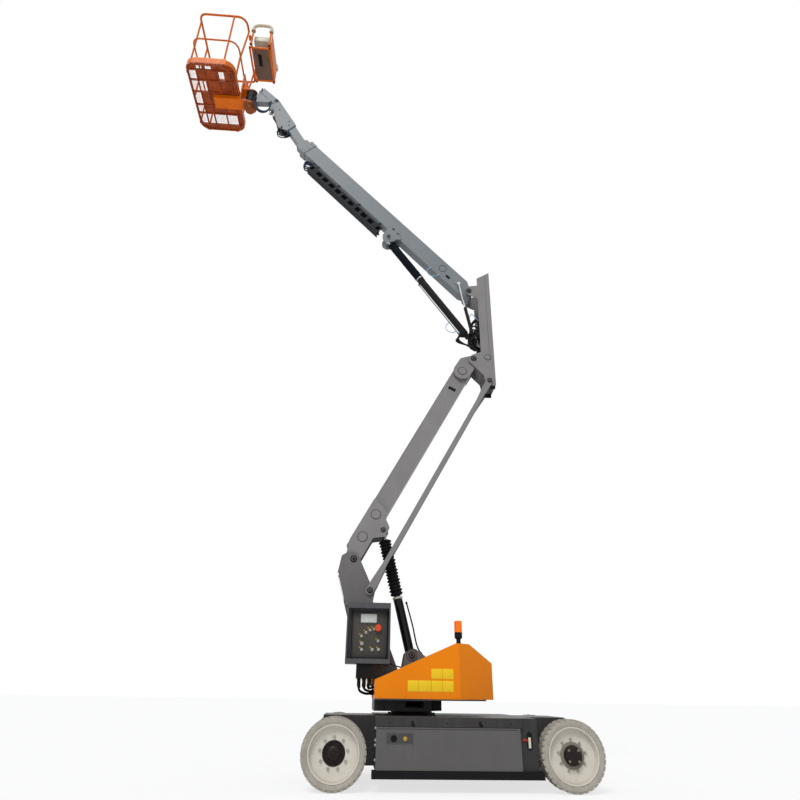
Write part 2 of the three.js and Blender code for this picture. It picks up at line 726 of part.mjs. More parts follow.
// ---------------------------------------------------------------- lower boom
const lower = boomLine(LOWER_PIVOT, LOWER_ANGLE, 1);
const lowerTop = lower.at(LOWER_LENGTH).slice(0, 2);
const linkHead = shift(lowerTop, LINK_OFFSET);
const ROOT_HALF = CHEEK_IN - SIDE_PLAY;
const DOUBLER = [104, 118]; // the plates beside the boom's root and head
const CROSS_TUBE = 50; // radius of the tubes that join them
const HEAD_BOSS = 112; // radius of the head plates' round ends
const EYE_SPACE = 48;

function lowerBoom() {
  const half = LOWER_WIDTH / 2;
  const { along, under } = LOWER_CYLINDER_EYE;
  const eye = lower.at(along, -under);
  const tube = lower.beam([100, LOWER_LENGTH - 150], [-LOWER_UNDER, LOWER_OVER], -half, half);
  const inside = lower.beam(
    [560, LOWER_LENGTH - 160],
    [-LOWER_UNDER + LOWER_WALL, LOWER_OVER - LOWER_WALL],
    -half + LOWER_WALL,
    half - LOWER_WALL,
  );
  const slot = lower.beam([92, 562], [-400, LOWER_OVER - LOWER_WALL], -half + LOWER_WALL, half - LOWER_WALL);
  const headSlot = lower.beam([LOWER_LENGTH - 165, LOWER_LENGTH - 100], [-40, 400], -half + LOWER_WALL, half - 8);
  const root = [
    lower.at(-60, -30, 50),
    lower.at(-50, 78, 50),
    lower.at(160, LOWER_OVER, 20),
    lower.at(700, LOWER_OVER, 10),
    lower.at(620, -LOWER_UNDER, 10),
    lower.at(along + 130, -LOWER_UNDER, 20),
    lower.at(along + 56, -under - 52, 40),
    lower.at(along - 56, -under - 52, 40),
    lower.at(along - 130, -LOWER_UNDER, 30),
    lower.at(30, -62, 30),
  ];
  const head = [
    lower.at(LOWER_LENGTH - 225, LOWER_OVER + 6),
    lower.at(LOWER_LENGTH - 70, LOWER_OVER - 2, 20),
    lower.at(LOWER_LENGTH + 20, 62, 30),
    lower.at(LOWER_LENGTH + 58, 6, 40),
    lower.at(LOWER_LENGTH + 18, -60, 40),
    lower.at(LOWER_LENGTH - 134, -70, 30),
    lower.at(LOWER_LENGTH - 225, -LOWER_UNDER - 6),
  ];
  const plates = [root, head].flatMap((corners) =>
    [1, -1].map((side) => plate(corners, ...span(side, ...DOUBLER), 3)),
  );
  const crossTubes = [lower.at(253, 43), lower.at(538, 43), lower.at(LOWER_LENGTH - 225, 44)].map((at) =>
    pin(at, -DOUBLER[1] - 3, DOUBLER[1] + 3, CROSS_TUBE, 14),
  );
  const bosses = bothSides((side) => pin(lower.at(LOWER_LENGTH - 225, 44), ...span(side, ...DOUBLER), HEAD_BOSS, 20));
  const turning = [LOWER_PIVOT, lowerTop].flatMap((at) => [
    pin(at, -ROOT_HALF, ROOT_HALF, 54, 16),
    pin(at, -CHEEK_OUT - 8, CHEEK_OUT + 8, PIVOT_PIN),
    ...[1, -1].map((side) => pin(at, ...span(side, CHEEK_OUT + 1, CHEEK_OUT + 5), 40, 12)),
  ]);
  const lugs = bothSides((side) => pin(eye, ...span(side, EYE_SPACE, DOUBLER[1] + 6), 30, 12));
  return joined(without(tube, inside, slot, headSlot), ...plates, ...crossTubes, bosses, ...turning, lugs);
}
add("lower_boom", lowerBoom(), greyPaint);

function parallelLink(side) {
  const foot = boomLine(linkFoot, LOWER_ANGLE, 1);
  const y = span(side, LINK_IN, LINK_IN + LINK);
  const half = LINK_DEPTH / 2;
  const bar = foot.beam([300, LOWER_LENGTH - 300], [-half, half], ...y);
  const ends = [
    [foot, 1],
    [boomLine(linkHead, LOWER_ANGLE, 1), -1],
  ].map(([line, way]) =>
    plate(
      [
        line.at(-way * 48, -40, 36),
        line.at(way * 100, -40, 30),
        line.at(way * 330, -half),
        line.at(way * 330, half),
        line.at(way * 100, 40, 30),
        line.at(-way * 48, 40, 36),
      ],
      ...y,
      4,
    ),
  );
  const pins = [linkFoot, linkHead].map((at) =>
    joined(
      pin(at, ...span(side, CHEEK_IN + 2, LINK_IN + LINK + 4), LINK_PIN),
      pin(at, ...span(side, LINK_IN + LINK - 2, LINK_IN + LINK + 8), 32, 20),
    ),
  );
  return joined(bar, ...ends, ...pins);
}
add("left_link", parallelLink(-1), greyPaint);
add("right_link", parallelLink(1), greyPaint);

// A hydraulic cylinder in the plane y, as a barrel that turns on its foot and a rod that ends in an eye.
function cylinder(foot, eye, sizes) {
  const { y, barrelRadius, barrelLength, rodRadius, footHalf, footRadius, pinHalf, pinRadius } = sizes;
  const long = distance(foot, eye);
  const at = (length) => {
    const [x, z] = between(foot, eye, length / long);
    return [x, y, z];
  };
  const bore = rodRadius + RUNNING;
  const { neckRadius = barrelRadius * 0.9, neckLength = barrelLength, tail } = sizes;
  const shell = joined(
    rod(at(footRadius * 0.6), at(barrelLength), barrelRadius, 24),
    ...(neckLength > barrelLength ? [rod(at(barrelLength - 5), at(neckLength), neckRadius, 24)] : []),
  );
  const barrel = joined(
    without(shell, rod(at(80), at(neckLength + 5), bore)),
    pin(foot, y - footHalf, y + footHalf, footRadius, 24),
    pin(foot, y - pinHalf, y + pinHalf, pinRadius),
  );
  const shaft = joined(
    rod(at(tail), at(long - sizes.eyeRadius * 0.6), rodRadius), // from its piston's end
    pin(eye, y - sizes.eyeHalf, y + sizes.eyeHalf, sizes.eyeRadius, 24),
  );
  return { barrel, shaft, at, long };
}

const lowerEye = lower.at(LOWER_CYLINDER_EYE.along, -LOWER_CYLINDER_EYE.under).slice(0, 2);
const lowerLift = cylinder(LOWER_CYLINDER_FOOT, lowerEye, {
  y: 0,
  barrelRadius: LOWER_BARREL_RADIUS,
  barrelLength: LOWER_BARREL_LENGTH,
  neckRadius: 34, // inside the bellows
  neckLength: 700,
  tail: 618,
  rodRadius: 25,
  footHalf: CHEEK_IN - SIDE_PLAY,
  footRadius: 46,
  pinHalf: CHEEK_OUT + 10,
  pinRadius: CYLINDER_PIN,
  eyeHalf: EYE_SPACE - 6,
  eyeRadius: 44,
});
const feedPipe = rod(lowerLift.at(60), lowerLift.at(LOWER_BARREL_LENGTH - 50), 9, 8).translate([34, -42, 8]);
add("lower_cylinder_barrel", joined(lowerLift.barrel, feedPipe), blackPaint);
add("lower_cylinder_rod", lowerLift.shaft, bareSteel);

// The rubber bellows round the lower cylinder's rod: an open sleeve.
function bellows() {
  const [low, high] = [LOWER_BARREL_LENGTH + 12, lowerLift.long - 92];
  const sleeve = rod(lowerLift.at(low), lowerLift.at(high), BELLOWS_RADIUS, 24);
  return sleeve.subtract(rod(lowerLift.at(low - 5), lowerLift.at(high + 5), BELLOWS_RADIUS - 8, 24));
}
add("lower_cylinder_bellows", bellows(), blackRubber);

// ---------------------------------------------------------------- upright
const MAIN_LUG = [44, 54]; // the plates that hold the main lift cylinder's foot

// The upright and all above it are sized with the lower boom's head here, and go with the head.
const HEAD_AT = [446.9812, 4546.1206];
const LINK_HEAD_AT = shift(HEAD_AT, LINK_OFFSET);
carried = [lowerTop[0] - HEAD_AT[0], 0, lowerTop[1] - HEAD_AT[1]];

function upright() {
  const [tx, tz] = HEAD_AT;
  const side = [
    [UPRIGHT_FRONT, tz + 100],
    [UPRIGHT_FRONT, MAIN_PIVOT[1] - 118],
    [MAIN_PIVOT[0] - 8, MAIN_PIVOT[1] - 60, 50],
    [MAIN_PIVOT[0] - 62, MAIN_PIVOT[1] + 30, 44],
    [MAIN_PIVOT[0] + 10, MAIN_PIVOT[1] + 76, 40],
    [UPRIGHT_FRONT, MAIN_PIVOT[1] + 96],
    [UPRIGHT_FRONT, UPRIGHT_TOP - UPRIGHT_SLANT],
    [UPRIGHT_BACK, UPRIGHT_TOP],
    [UPRIGHT_BACK, UPRIGHT_FOOT, 10],
    [LINK_HEAD_AT[0] - 4, LINK_HEAD_AT[1] - 58, 40],
    [LINK_HEAD_AT[0] - 52, LINK_HEAD_AT[1] + 8, 30],
    [LINK_HEAD_AT[0] - 64, LINK_HEAD_AT[1] + 84, 20],
    [378, 4510, 20],
    [tx - 60, tz + 20, 40],
    [tx + 2, tz + 66, 40],
  ];
  const block = plate(side, -CHEEK_OUT, CHEEK_OUT);
  const channel = box([0, UPRIGHT_BACK - 10], [-CHEEK_IN, CHEEK_IN], [3900, 6100]);
  const lug = bothSides((hand) =>
    plate(
      [
        [UPRIGHT_BACK - 5, MAIN_CYLINDER_FOOT[1] - 190],
        [UPRIGHT_BACK - 5, LEVEL_FOOT[1] + 150],
        [LEVEL_FOOT[0] + 10, LEVEL_FOOT[1] + 30, 22],
        [LEVEL_FOOT[0] - 32, LEVEL_FOOT[1] - 10, 20],
        [MAIN_CYLINDER_FOOT[0] - 54, MAIN_CYLINDER_FOOT[1] - 26, 30],
        [MAIN_CYLINDER_FOOT[0] + 10, MAIN_CYLINDER_FOOT[1] - 60, 40],
      ],
      ...span(hand, ...MAIN_LUG),
    ),
  );
  const holes = [
    pin(HEAD_AT, -200, 200, PIVOT_PIN + RUNNING),
    pin(LINK_HEAD_AT, -200, 200, LINK_PIN + RUNNING),
    pin(MAIN_PIVOT, -200, 200, PIVOT_PIN + RUNNING),
    pin(MAIN_CYLINDER_FOOT, -80, 80, 24 + RUNNING),
    pin(LEVEL_FOOT, -80, 80, LEVEL_PIN + RUNNING),
  ];
  return without(joined(block.subtract(channel), lug), ...holes);
}
add("upright", upright(), greyPaint);

// ---------------------------------------------------------------- main boom
const main = boomLine(MAIN_PIVOT, MAIN_ANGLE, -1);

function mainBoom() {
  const half = MAIN_WIDTH / 2;
  const { along, under } = MAIN_EYE;
  const eye = main.at(along, -under);
  const tube = main.beam([150, MAIN_LENGTH], [-MAIN_UNDER, MAIN_OVER], -half, half);
  const root = plate(
    [
      main.at(0, 56),
      main.at(155, MAIN_OVER),
      main.at(155, -MAIN_UNDER),
      main.at(90, -MAIN_UNDER, 20),
      main.at(0, -56),
    ],
    -half,
    half,
  );
  const bracket = bothSides((side) =>
    plate(
      [
        main.at(along - 175, -MAIN_UNDER + 40, 30),
        main.at(along + 175, -MAIN_UNDER + 40, 30),
        main.at(along + 120, -MAIN_UNDER - 22, 40),
        main.at(along + 58, -under - 20, 50),
        main.at(along, -under - 62, 50),
        main.at(along - 58, -under - 20, 50),
        main.at(along - 120, -MAIN_UNDER - 22, 40),
      ],
      ...span(side, half - 1, half + 14),
    ),
  );
  const collar = main.beam([MAIN_LENGTH - 120, MAIN_LENGTH], [-MAIN_UNDER - 8, MAIN_OVER + 8], -half - 8, half + 8);
  const bore = main.beam(
    [176, MAIN_LENGTH + 5],
    [-MAIN_UNDER + MAIN_WALL, MAIN_OVER - MAIN_WALL],
    -half + MAIN_WALL,
    half - MAIN_WALL,
  );
  const rear = main.beam([70, 190], [-MAIN_UNDER + 30, MAIN_OVER - 90], -40, 40);
  const sideHole = joined(
    pin(main.at(360, -14), -200, 200, 20),
    pin(main.at(400, -14), -200, 200, 20),
    main.beam([360, 400], [-34, 6], -200, 200),
  );
  const turning = [
    pin(MAIN_PIVOT, -half - SIDE_PLAY, ROOT_HALF, 58, ROUND), // short on the levelling cylinder's side
    pin(MAIN_PIVOT, -CHEEK_OUT - 8, CHEEK_OUT + 8, PIVOT_PIN),
    ...[1, -1].map((side) => pin(MAIN_PIVOT, ...span(side, CHEEK_OUT + 1, CHEEK_OUT + 5), 40, 12)),
  ];
  const eyePins = bothSides((side) => pin(eye, ...span(side, EYE_SPACE, half + 34), 24, 20));
  const shell = without(joined(tube, root, collar), bore, rear, sideHole);
  return joined(shell, bracket, ...turning, eyePins);
}
add("main_boom", mainBoom(), greyPaint);

const TRAY = { from: 1590, to: 3200, low: -MAIN_UNDER - 165, high: -MAIN_UNDER - 45, count: 11 };
function cableTray() {
  const half = MAIN_WIDTH / 2;
  const wall = main.beam([TRAY.from, TRAY.to], [TRAY.low, TRAY.high], -half - 2, -half + 2);
  const shelf = main.beam([TRAY.from, TRAY.to], [TRAY.low, TRAY.low + 4], -half - 2, half - 30);
  const hangers = [0.06, 0.35, 0.64, 0.94].map((share) => {
    const s = TRAY.from + (TRAY.to - TRAY.from) * share;
    return main.beam([s - 18, s + 18], [TRAY.low, -MAIN_UNDER - GAP], -half - 2, -half + 6);
  });
  const pitch = (TRAY.to - TRAY.from) / TRAY.count;
  const holes = Array.from({ length: TRAY.count }, (_, i) => {
    const s = TRAY.from + pitch * (i + 0.5);
    return main.beam([s - 0.32 * pitch, s + 0.32 * pitch], [TRAY.low + 28, TRAY.high - 26], -half - 9, -half + 9);
  });
  return joined(without(joined(wall, shelf), ...holes), ...hangers);
}
add("cable_tray", cableTray(), blackPaint);

const mainEye = main.at(MAIN_EYE.along, -MAIN_EYE.under).slice(0, 2);
const mainLift = cylinder(MAIN_CYLINDER_FOOT, mainEye, {
  y: 0,
  barrelRadius: MAIN_BARREL_RADIUS - 6,
  barrelLength: MAIN_BARREL_LENGTH,
  tail: 1000,
  rodRadius: 24,
  footHalf: MAIN_LUG[0] - SIDE_PLAY,
  footRadius: 44,
  pinHalf: MAIN_LUG[1] + 6,
  pinRadius: 24,
  eyeHalf: EYE_SPACE - 8,
  eyeRadius: 40,
});
add("main_cylinder_barrel", mainLift.barrel, blackPaint);
add("main_cylinder_rod", mainLift.shaft, bareSteel);

const levelMaster = cylinder(LEVEL_FOOT, LEVEL_EYE, {
  y: LEVEL_Y,
  barrelRadius: 22,
  barrelLength: 405,
  tail: 300,
  rodRadius: 10,
  footHalf: 15,
  footRadius: 26,
  pinHalf: 17,
  pinRadius: 10,
  eyeHalf: 12,
  eyeRadius: 22,
});
const footPin = pin(LEVEL_FOOT, LEVEL_Y, -MAIN_LUG[0], LEVEL_PIN);
add("level_cylinder_barrel", joined(levelMaster.barrel, footPin), blackPaint);
const levelEyePin = pin(LEVEL_EYE, LEVEL_Y - 16, -MAIN_WIDTH / 2 - SIDE_PLAY, LEVEL_PIN);
add("level_cylinder_rod", joined(levelMaster.shaft, levelEyePin), bareSteel);

// ---------------------------------------------------------------- sliding boom
const headPin = main.at(HEAD_PIN.along, HEAD_PIN.over).slice(0, 2);
const FLY_HALF = MAIN_WIDTH / 2 - MAIN_WALL - WEAR_GAP;
const FLY_OVER = MAIN_OVER - MAIN_WALL - 12;
const FLY_UNDER = MAIN_UNDER - MAIN_WALL - 12;
const HEAD_IN = 56; // half the space between the head's plates
const HEAD_OUT = 70;
const SUPPORT_HALF = 50;

function flyBoom() {
  const { along, over } = HEAD_PIN;
  const tube = main.beam([FLY_TAIL, FLY_END], [-FLY_UNDER, FLY_OVER], -FLY_HALF, FLY_HALF);
  const inside = main.beam(
    [FLY_TAIL - 5, FLY_END - 12],
    [-FLY_UNDER + 6, FLY_OVER - 6],
    -FLY_HALF + 6,
    FLY_HALF - 6,
  );
  const nose = plate(
    [main.at(3640, -42), main.at(3732, -34), main.at(4060, 34), main.at(4110, 182), main.at(3748, 98), main.at(3640, 92)],
    -FLY_HALF + 2,
    FLY_HALF - 2,
  );
  const noseRoom = plate(
    [main.at(3740, -24), main.at(4200, 75), main.at(4200, 192), main.at(3740, 88)],
    -FLY_HALF + 10,
    FLY_HALF - 10,
  );
  const head = plate(
    [
      main.at(4037, -7, 10),
      main.at(4052, 184, 10),
      main.at(along + 10, over + 48, 36),
      main.at(along + 52, over - 12, 34),
      main.at(along - 26, over - 58, 24),
      main.at(4600, 146, 20),
      main.at(4285, -20, 30),
      main.at(4184, -64, 20),
    ],
    -HEAD_OUT,
    HEAD_OUT,
  );
  const headRoom = plate(
    [main.at(4020, -300), main.at(4064, 170), main.at(4330, 234), main.at(4345, 700), main.at(5000, 700), main.at(5000, -300)],
    -HEAD_IN,
    HEAD_IN,
  );
  const holes = [pin(headPin, -200, 200, 24 + RUNNING), pin(SLAVE_FOOT, -200, 200, LEVEL_PIN + RUNNING)];
  return without(joined(without(head, headRoom), tube, nose), inside, noseRoom, ...holes);
}
const SLAVE_FOOT = [-2400, 8640];
const SLAVE_EYE = [-2628, 9060];
add("fly_boom", flyBoom(), greyPaint);

// ---------------------------------------------------------------- platform support and rotator
const SUPPORT_END = [-2815, 9515];

function platformSupport() {
  const way = [SUPPORT_END[0] - headPin[0], SUPPORT_END[1] - headPin[1]];
  const long = Math.hypot(...way);
  const arm = boomLine(headPin, Math.atan2(way[1], -way[0]) / RAD, -1);
  const tube = arm.beam([0, long], [-55, 55], -SUPPORT_HALF, SUPPORT_HALF);
  const room = arm.beam([70, long + 5], [-47, 47], -SUPPORT_HALF + 8, SUPPORT_HALF - 8);
  const gusset = plate(
    [
      [ROTATOR_X + ROTATOR_RADIUS - 8, ROTATOR_TOP - 16],
      [-2815, ROTATOR_TOP - 16],
      [-2640, 9262],
      [-2660, 9236],
      [ROTATOR_X + ROTATOR_RADIUS - 8, ROTATOR_BOTTOM + 16],
    ],
    -SUPPORT_HALF + 4,
    SUPPORT_HALF - 4,
  );
  const housing = rod([ROTATOR_X, 0, ROTATOR_BOTTOM - 10], [ROTATOR_X, 0, ROTATOR_TOP + 10], ROTATOR_RADIUS + GAP, ROUND);
  const lug = bothSides((side) =>
    plate(
      [
        [headPin[0] - 6, headPin[1] - 40],
        [headPin[0] - 50, headPin[1] + 10],
        [SLAVE_EYE[0] - 36, SLAVE_EYE[1] + 10, 20],
        [SLAVE_EYE[0] - 14, SLAVE_EYE[1] - 32, 24],
        [SLAVE_EYE[0] + 34, SLAVE_EYE[1] - 12, 24],
      ],
      ...span(side, 26, 40),
    ),
  );
  const hub = pin(headPin, -HEAD_IN + SIDE_PLAY, HEAD_IN - SIDE_PLAY, 55, 24);
  const axle = pin(headPin, -HEAD_OUT - 8, HEAD_OUT + 8, 24);
  const heads = bothSides((side) => pin(headPin, ...span(side, HEAD_OUT + 1, HEAD_OUT + 9), 34, 20));
  const eyeHole = pin(SLAVE_EYE, -90, 90, LEVEL_PIN + RUNNING);
  return joined(without(joined(tube, gusset, lug), room, housing, eyeHole), hub, axle, heads);
}
add("platform_support", platformSupport(), greyPaint);

const slave = cylinder(SLAVE_FOOT, SLAVE_EYE, {
  y: 0,
  barrelRadius: 24,
  barrelLength: 330,
  tail: 150,
  rodRadius: 11,
  footHalf: HEAD_IN - SIDE_PLAY,
  footRadius: 24,
  pinHalf: HEAD_OUT + 8,
  pinRadius: LEVEL_PIN,
  eyeHalf: 20,
  eyeRadius: 22,
});
add("slave_cylinder_barrel", slave.barrel, blackPaint);
add("slave_cylinder_rod", slave.shaft, bareSteel);

const rotatorAt = (z) => [ROTATOR_X, 0, z];
const rotator = rod(rotatorAt(ROTATOR_BOTTOM), rotatorAt(ROTATOR_TOP), ROTATOR_RADIUS, ROUND);
add("platform_rotator", rotator, blackPaint);

// ---------------------------------------------------------------- platform
const BRACKET_BACK = [-3125, -3105];

function platformBracket() {
  const backPlate = box(BRACKET_BACK, [-110, 110], [FLOOR_Z - 80, 9790]);
  const ears = [
    [ROTATOR_BOTTOM - 24, ROTATOR_BOTTOM - 6],
    [ROTATOR_TOP + 6, ROTATOR_TOP + 24],
  ].map(([low, high]) =>
    joined(
      box([BRACKET_BACK[0], ROTATOR_X], [-85, 85], [low, high]),
      rod(rotatorAt(low), rotatorAt(high), 85, ROUND),
    ),
  );
  const cap = rod(rotatorAt(9060), rotatorAt(ROTATOR_BOTTOM - 20), 72, ROUND);
  const arm = without(
    box([-3530, BRACKET_BACK[1]], [-95, 95], [FLOOR_Z - 80, FLOOR_Z - GAP]),
    box([-3540, BRACKET_BACK[0]], [-83, 83], [FLOOR_Z - 68, FLOOR_Z - 12]),
  );
  return joined(backPlate, ...ears, cap, arm);
}
add("platform_bracket", platformBracket(), orangePaint);

const corners = (inset, back = PLATFORM_BACK) => [
  [PLATFORM_FRONT + inset, -PLATFORM_HALF + inset, 120 - inset],
  [back - inset, -PLATFORM_HALF + inset, 160 - inset],
  [back - inset, PLATFORM_HALF - inset, 120 - inset],
  [PLATFORM_FRONT + inset, PLATFORM_HALF - inset, 120 - inset],
];

const TREAD = 1.5; // the tread plate stands above the floor's edge
const TREAD_INSET = 38; // clear of the toe board and the posts

function platformFloor() {
  const edge = slab(corners(0), FLOOR_Z, FLOOR_Z + FLOOR_THICKNESS, 5);
  const [columns, rows] = [3, 4];
  const frame = 34;
  const stepX = (PLATFORM_BACK - PLATFORM_FRONT - 2 * frame) / columns;
  const stepY = (2 * PLATFORM_HALF - 2 * frame) / rows;
  const pans = [];
  for (let i = 0; i < columns; i += 1) {
    for (let j = 0; j < rows; j += 1) {
      const x = PLATFORM_FRONT + frame + i * stepX + 14;
      const y = -PLATFORM_HALF + frame + j * stepY + 14;
      pans.push(box([x, x + stepX - 28], [y, y + stepY - 28], [FLOOR_Z - 5, FLOOR_Z + FLOOR_THICKNESS - 6]));
    }
  }
  const middle = box([-3540, -3000], [-100, 100], [FLOOR_Z - 9, FLOOR_Z + FLOOR_THICKNESS - 6]);
  const rounded = slab(corners(26), FLOOR_Z - 20, FLOOR_Z + 100, 5);
  const tread = slab(corners(TREAD_INSET), FLOOR_Z + FLOOR_THICKNESS - 2, FLOOR_Z + FLOOR_THICKNESS + TREAD, 5);
  return joined(edge.subtract(joined(...pans).subtract(middle).intersect(rounded)), tread);
}
add("platform_floor", platformFloor(), orangePaint);

// A level rail round the platform as two bent halves. Each half starts and ends in the middle of a side.
function railLoop(z, radius, back = PLATFORM_BACK) {
  const [a, b, c, d] = corners(radius + 4, back).map(([x, y, bend]) => [x, y, z, bend]);
  const middle = (p, q) => [(p[0] + q[0]) / 2, (p[1] + q[1]) / 2, z];
  const overlap = (p, dx) => [p[0] + dx, p[1], z];
  const [near, far] = [middle(a, b), middle(c, d)];
  const front = bentTube([overlap(near, 3), a, d, overlap(far, 3)], radius, 8, 4);
  const rear = bentTube([overlap(near, -3), b, c, overlap(far, -3)], radius * 1.02, 8, 4);
  return joined(front, rear);
}

const MID_TUBE = 13; // radius of the middle rail
const POST_TUBE = 15;
const POSTS = [
  [PLATFORM_FRONT + 19, -440],
  [PLATFORM_FRONT + 19, 0],
  [PLATFORM_FRONT + 19, 440],
  [-3305, -PLATFORM_HALF + 19],
  [ENTRY_X[0], PLATFORM_HALF - 19],
  [ENTRY_X[1], PLATFORM_HALF - 19],
];
const TOP_BACK = PLATFORM_BACK + 55; // the top rail stands out towards the boom
const BACK_POSTS = [-332, 332];

function platformFrame() {
  const consoleGap = box([TOP_BACK - 60, TOP_BACK + 50], BACK_POSTS, [TOP_RAIL_Z - 60, TOP_RAIL_Z + 60]);
  const top = railLoop(TOP_RAIL_Z, RAIL_TUBE, TOP_BACK).subtract(consoleGap);
  const entryGap = box(
    [ENTRY_X[0] + 6, ENTRY_X[1] - 6],
    [PLATFORM_HALF - 80, PLATFORM_HALF + 20],
    [MID_RAIL_Z - 60, MID_RAIL_Z + 60],
  );
  const mid = railLoop(MID_RAIL_Z, MID_TUBE).subtract(entryGap);
  const toe = without(
    slab(corners(0), FLOOR_Z + FLOOR_THICKNESS + GAP, FLOOR_Z + TOE_HEIGHT, 5),
    slab(corners(5), FLOOR_Z, FLOOR_Z + TOE_HEIGHT + 5, 5),
  );
  const low = FLOOR_Z + FLOOR_THICKNESS + 20;
  const posts = POSTS.map(([x, y]) => rod([x, y, low], [x, y, TOP_RAIL_Z], POST_TUBE, 8));
  const backPosts = BACK_POSTS.map((y) =>
    bentTube(
      [
        [PLATFORM_BACK - 20, y, low, 0],
        [PLATFORM_BACK - 20, y, MID_RAIL_Z - 60, 300],
        [TOP_BACK - 21, y, TOP_RAIL_Z, 0],
      ],
      POST_TUBE,
      8,
      3,
    ),
  );
  return joined(top, mid, toe, ...posts, ...backPosts);
}
add("platform_frame", platformFrame(), orangePaint);

// The entry's bar rests on the ends of the middle rail and slides up on its two posts.
function entryBar() {
  const low = MID_RAIL_Z + MID_TUBE + 1;
  const z = low + 25;
  const [postY, y] = [PLATFORM_HALF - 19, PLATFORM_HALF - 60];
  const bar = rod([ENTRY_X[0], y, z], [ENTRY_X[1], y, z], MID_TUBE, 8);
  const sleeves = ENTRY_X.map((x) => {
    const arm = rod([x, postY - 20, z], [x, y, z], MID_TUBE, 8);
    const sleeve = rod([x, postY, low], [x, postY, low + 66], 25, 12);
    return without(joined(sleeve, arm), rod([x, postY, low - 9], [x, postY, low + 90], POST_TUBE + 3, 12));
  });
  return joined(bar, ...sleeves);
}

add("entry_bar", entryBar(), orangePaint);

const CONSOLE = { x: [-3078, -2722], y: [-300, 300], z: [10205, 10600], sheet: 4 };
function platformConsole() {
  const { x, y, z, sheet } = CONSOLE;
  const shape = (inset, top) => [
    [x[0] + inset, z[0] + inset, 12],
    [x[0] + inset, z[1] - 150 + top, inset ? 0 : 10],
    [x[0] + 190, z[1] + top, inset ? 0 : 20],
    [x[1] - inset, z[1] + top, inset ? 0 : 10],
    [x[1] - inset, z[0] + inset, 12],
  ];
  const tray = without(plate(shape(0, 0), ...y, 3), plate(shape(sheet, 90), y[0] + sheet, y[1] - sheet, 3));
  const arms = BACK_POSTS.map((post) =>
    box([TOP_BACK - 12, TOP_BACK + 20], span(Math.sign(post), 290, 345), [TOP_RAIL_Z - 150, TOP_RAIL_Z - 90]),
  );
  const hooks = box([TOP_BACK - 6, x[0] + 10], [-290, 290], [TOP_RAIL_Z - 150, TOP_RAIL_Z - 90]);
  return joined(tray, hooks, ...arms);
}
add("platform_console", platformConsole(), orangePaint);

function controlBox2() {
  const { x, z, sheet } = CONSOLE;
  return plate(
    [
      [x[0] + 60, z[0] + sheet + GAP],
      [x[0] + 60, z[1] - 200, 10],
      [x[0] + 120, z[1] - 60, 20],
      [x[1] - 60, z[1] - 20, 20],
      [x[1] - 60, z[0] + sheet + GAP],
    ],
    -230,
    230,
    3,
  );
}
add("platform_control_box", controlBox2(), caseGrey);

// Padded guards on both sides of the controls.
const GUARD = { x: [-3040, -2745], low: 10240, high: 10765, radius: 25, bend: 110 };
for (const [hand, side] of [["left", -1], ["right", 1]]) {
  const y = side * (CONSOLE.y[1] + GUARD.radius + 2 * GAP);
  const path = [
    [GUARD.x[0], y, GUARD.low, 0],
    [GUARD.x[0], y, GUARD.high, GUARD.bend],
    [GUARD.x[1], y, GUARD.high, GUARD.bend],
    [GUARD.x[1], y, GUARD.low, 0],
  ];
  add(`${hand}_console_guard`, bentTube(path, GUARD.radius, 10, 4), creamPaint);
}

export default part;
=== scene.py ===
"""Looks of an articulating boom lift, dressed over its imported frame.

Each sub-assembly is a class that models its visible pieces and gives them their finishes. The functions spot
and at take millimetres. All other sizes are metres in the frame's own axes: +Z up, -X towards the work
platform, -Y the side with the ground controls.
"""

import json
import logging
import math
from dataclasses import dataclass, field
from enum import Enum
from typing import Iterable, Sequence

import bpy
from mathutils import Matrix, Vector

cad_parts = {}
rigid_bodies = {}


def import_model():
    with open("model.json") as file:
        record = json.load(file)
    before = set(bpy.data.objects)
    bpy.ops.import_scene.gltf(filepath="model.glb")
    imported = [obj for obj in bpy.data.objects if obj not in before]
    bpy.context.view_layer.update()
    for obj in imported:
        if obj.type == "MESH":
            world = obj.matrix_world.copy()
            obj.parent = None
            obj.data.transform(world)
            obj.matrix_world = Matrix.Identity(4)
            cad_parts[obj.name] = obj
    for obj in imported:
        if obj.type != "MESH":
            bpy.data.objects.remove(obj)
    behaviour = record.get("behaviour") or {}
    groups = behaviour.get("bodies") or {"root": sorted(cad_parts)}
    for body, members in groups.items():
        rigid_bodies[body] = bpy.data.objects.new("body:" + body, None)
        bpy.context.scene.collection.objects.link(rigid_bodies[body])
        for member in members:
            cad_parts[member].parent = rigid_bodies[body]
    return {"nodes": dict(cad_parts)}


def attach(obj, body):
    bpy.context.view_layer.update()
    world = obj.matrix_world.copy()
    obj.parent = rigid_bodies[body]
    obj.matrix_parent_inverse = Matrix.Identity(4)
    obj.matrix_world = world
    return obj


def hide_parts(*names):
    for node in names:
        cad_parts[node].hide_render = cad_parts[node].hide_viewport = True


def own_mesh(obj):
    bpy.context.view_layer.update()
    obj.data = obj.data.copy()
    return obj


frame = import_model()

LOG = logging.getLogger("boom_lift")
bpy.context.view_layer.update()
AXLE_MIDDLE = 1.3  # the wheelbase's middle along X
WHITE = "#ffffff"
UP = Vector((0, 0, 1))
ACROSS = Vector((0, 1, 0))

# Centres on the machine, in millimetres about the wheelbase's middle.
SLEW_X = -315  # the slewing axis
LIFT_FOOT_X, LIFT_FOOT_Z = -325, 1083  # the lower cylinder's foot pin
ROTATOR_X = -2960  # the platform rotator's axis
# The cylinders' rod eyes, in millimetres along and above their booms.
LOWER_EYE = (431, -112)
MAIN_EYE = (1418, -189)
# A weld's section round a 100 mm tube end, as radius and height in metres.
WELD_SECTION = [(0.05, 0), (0.056, 0), (0.055, 0.004), (0.05, 0.0045)]


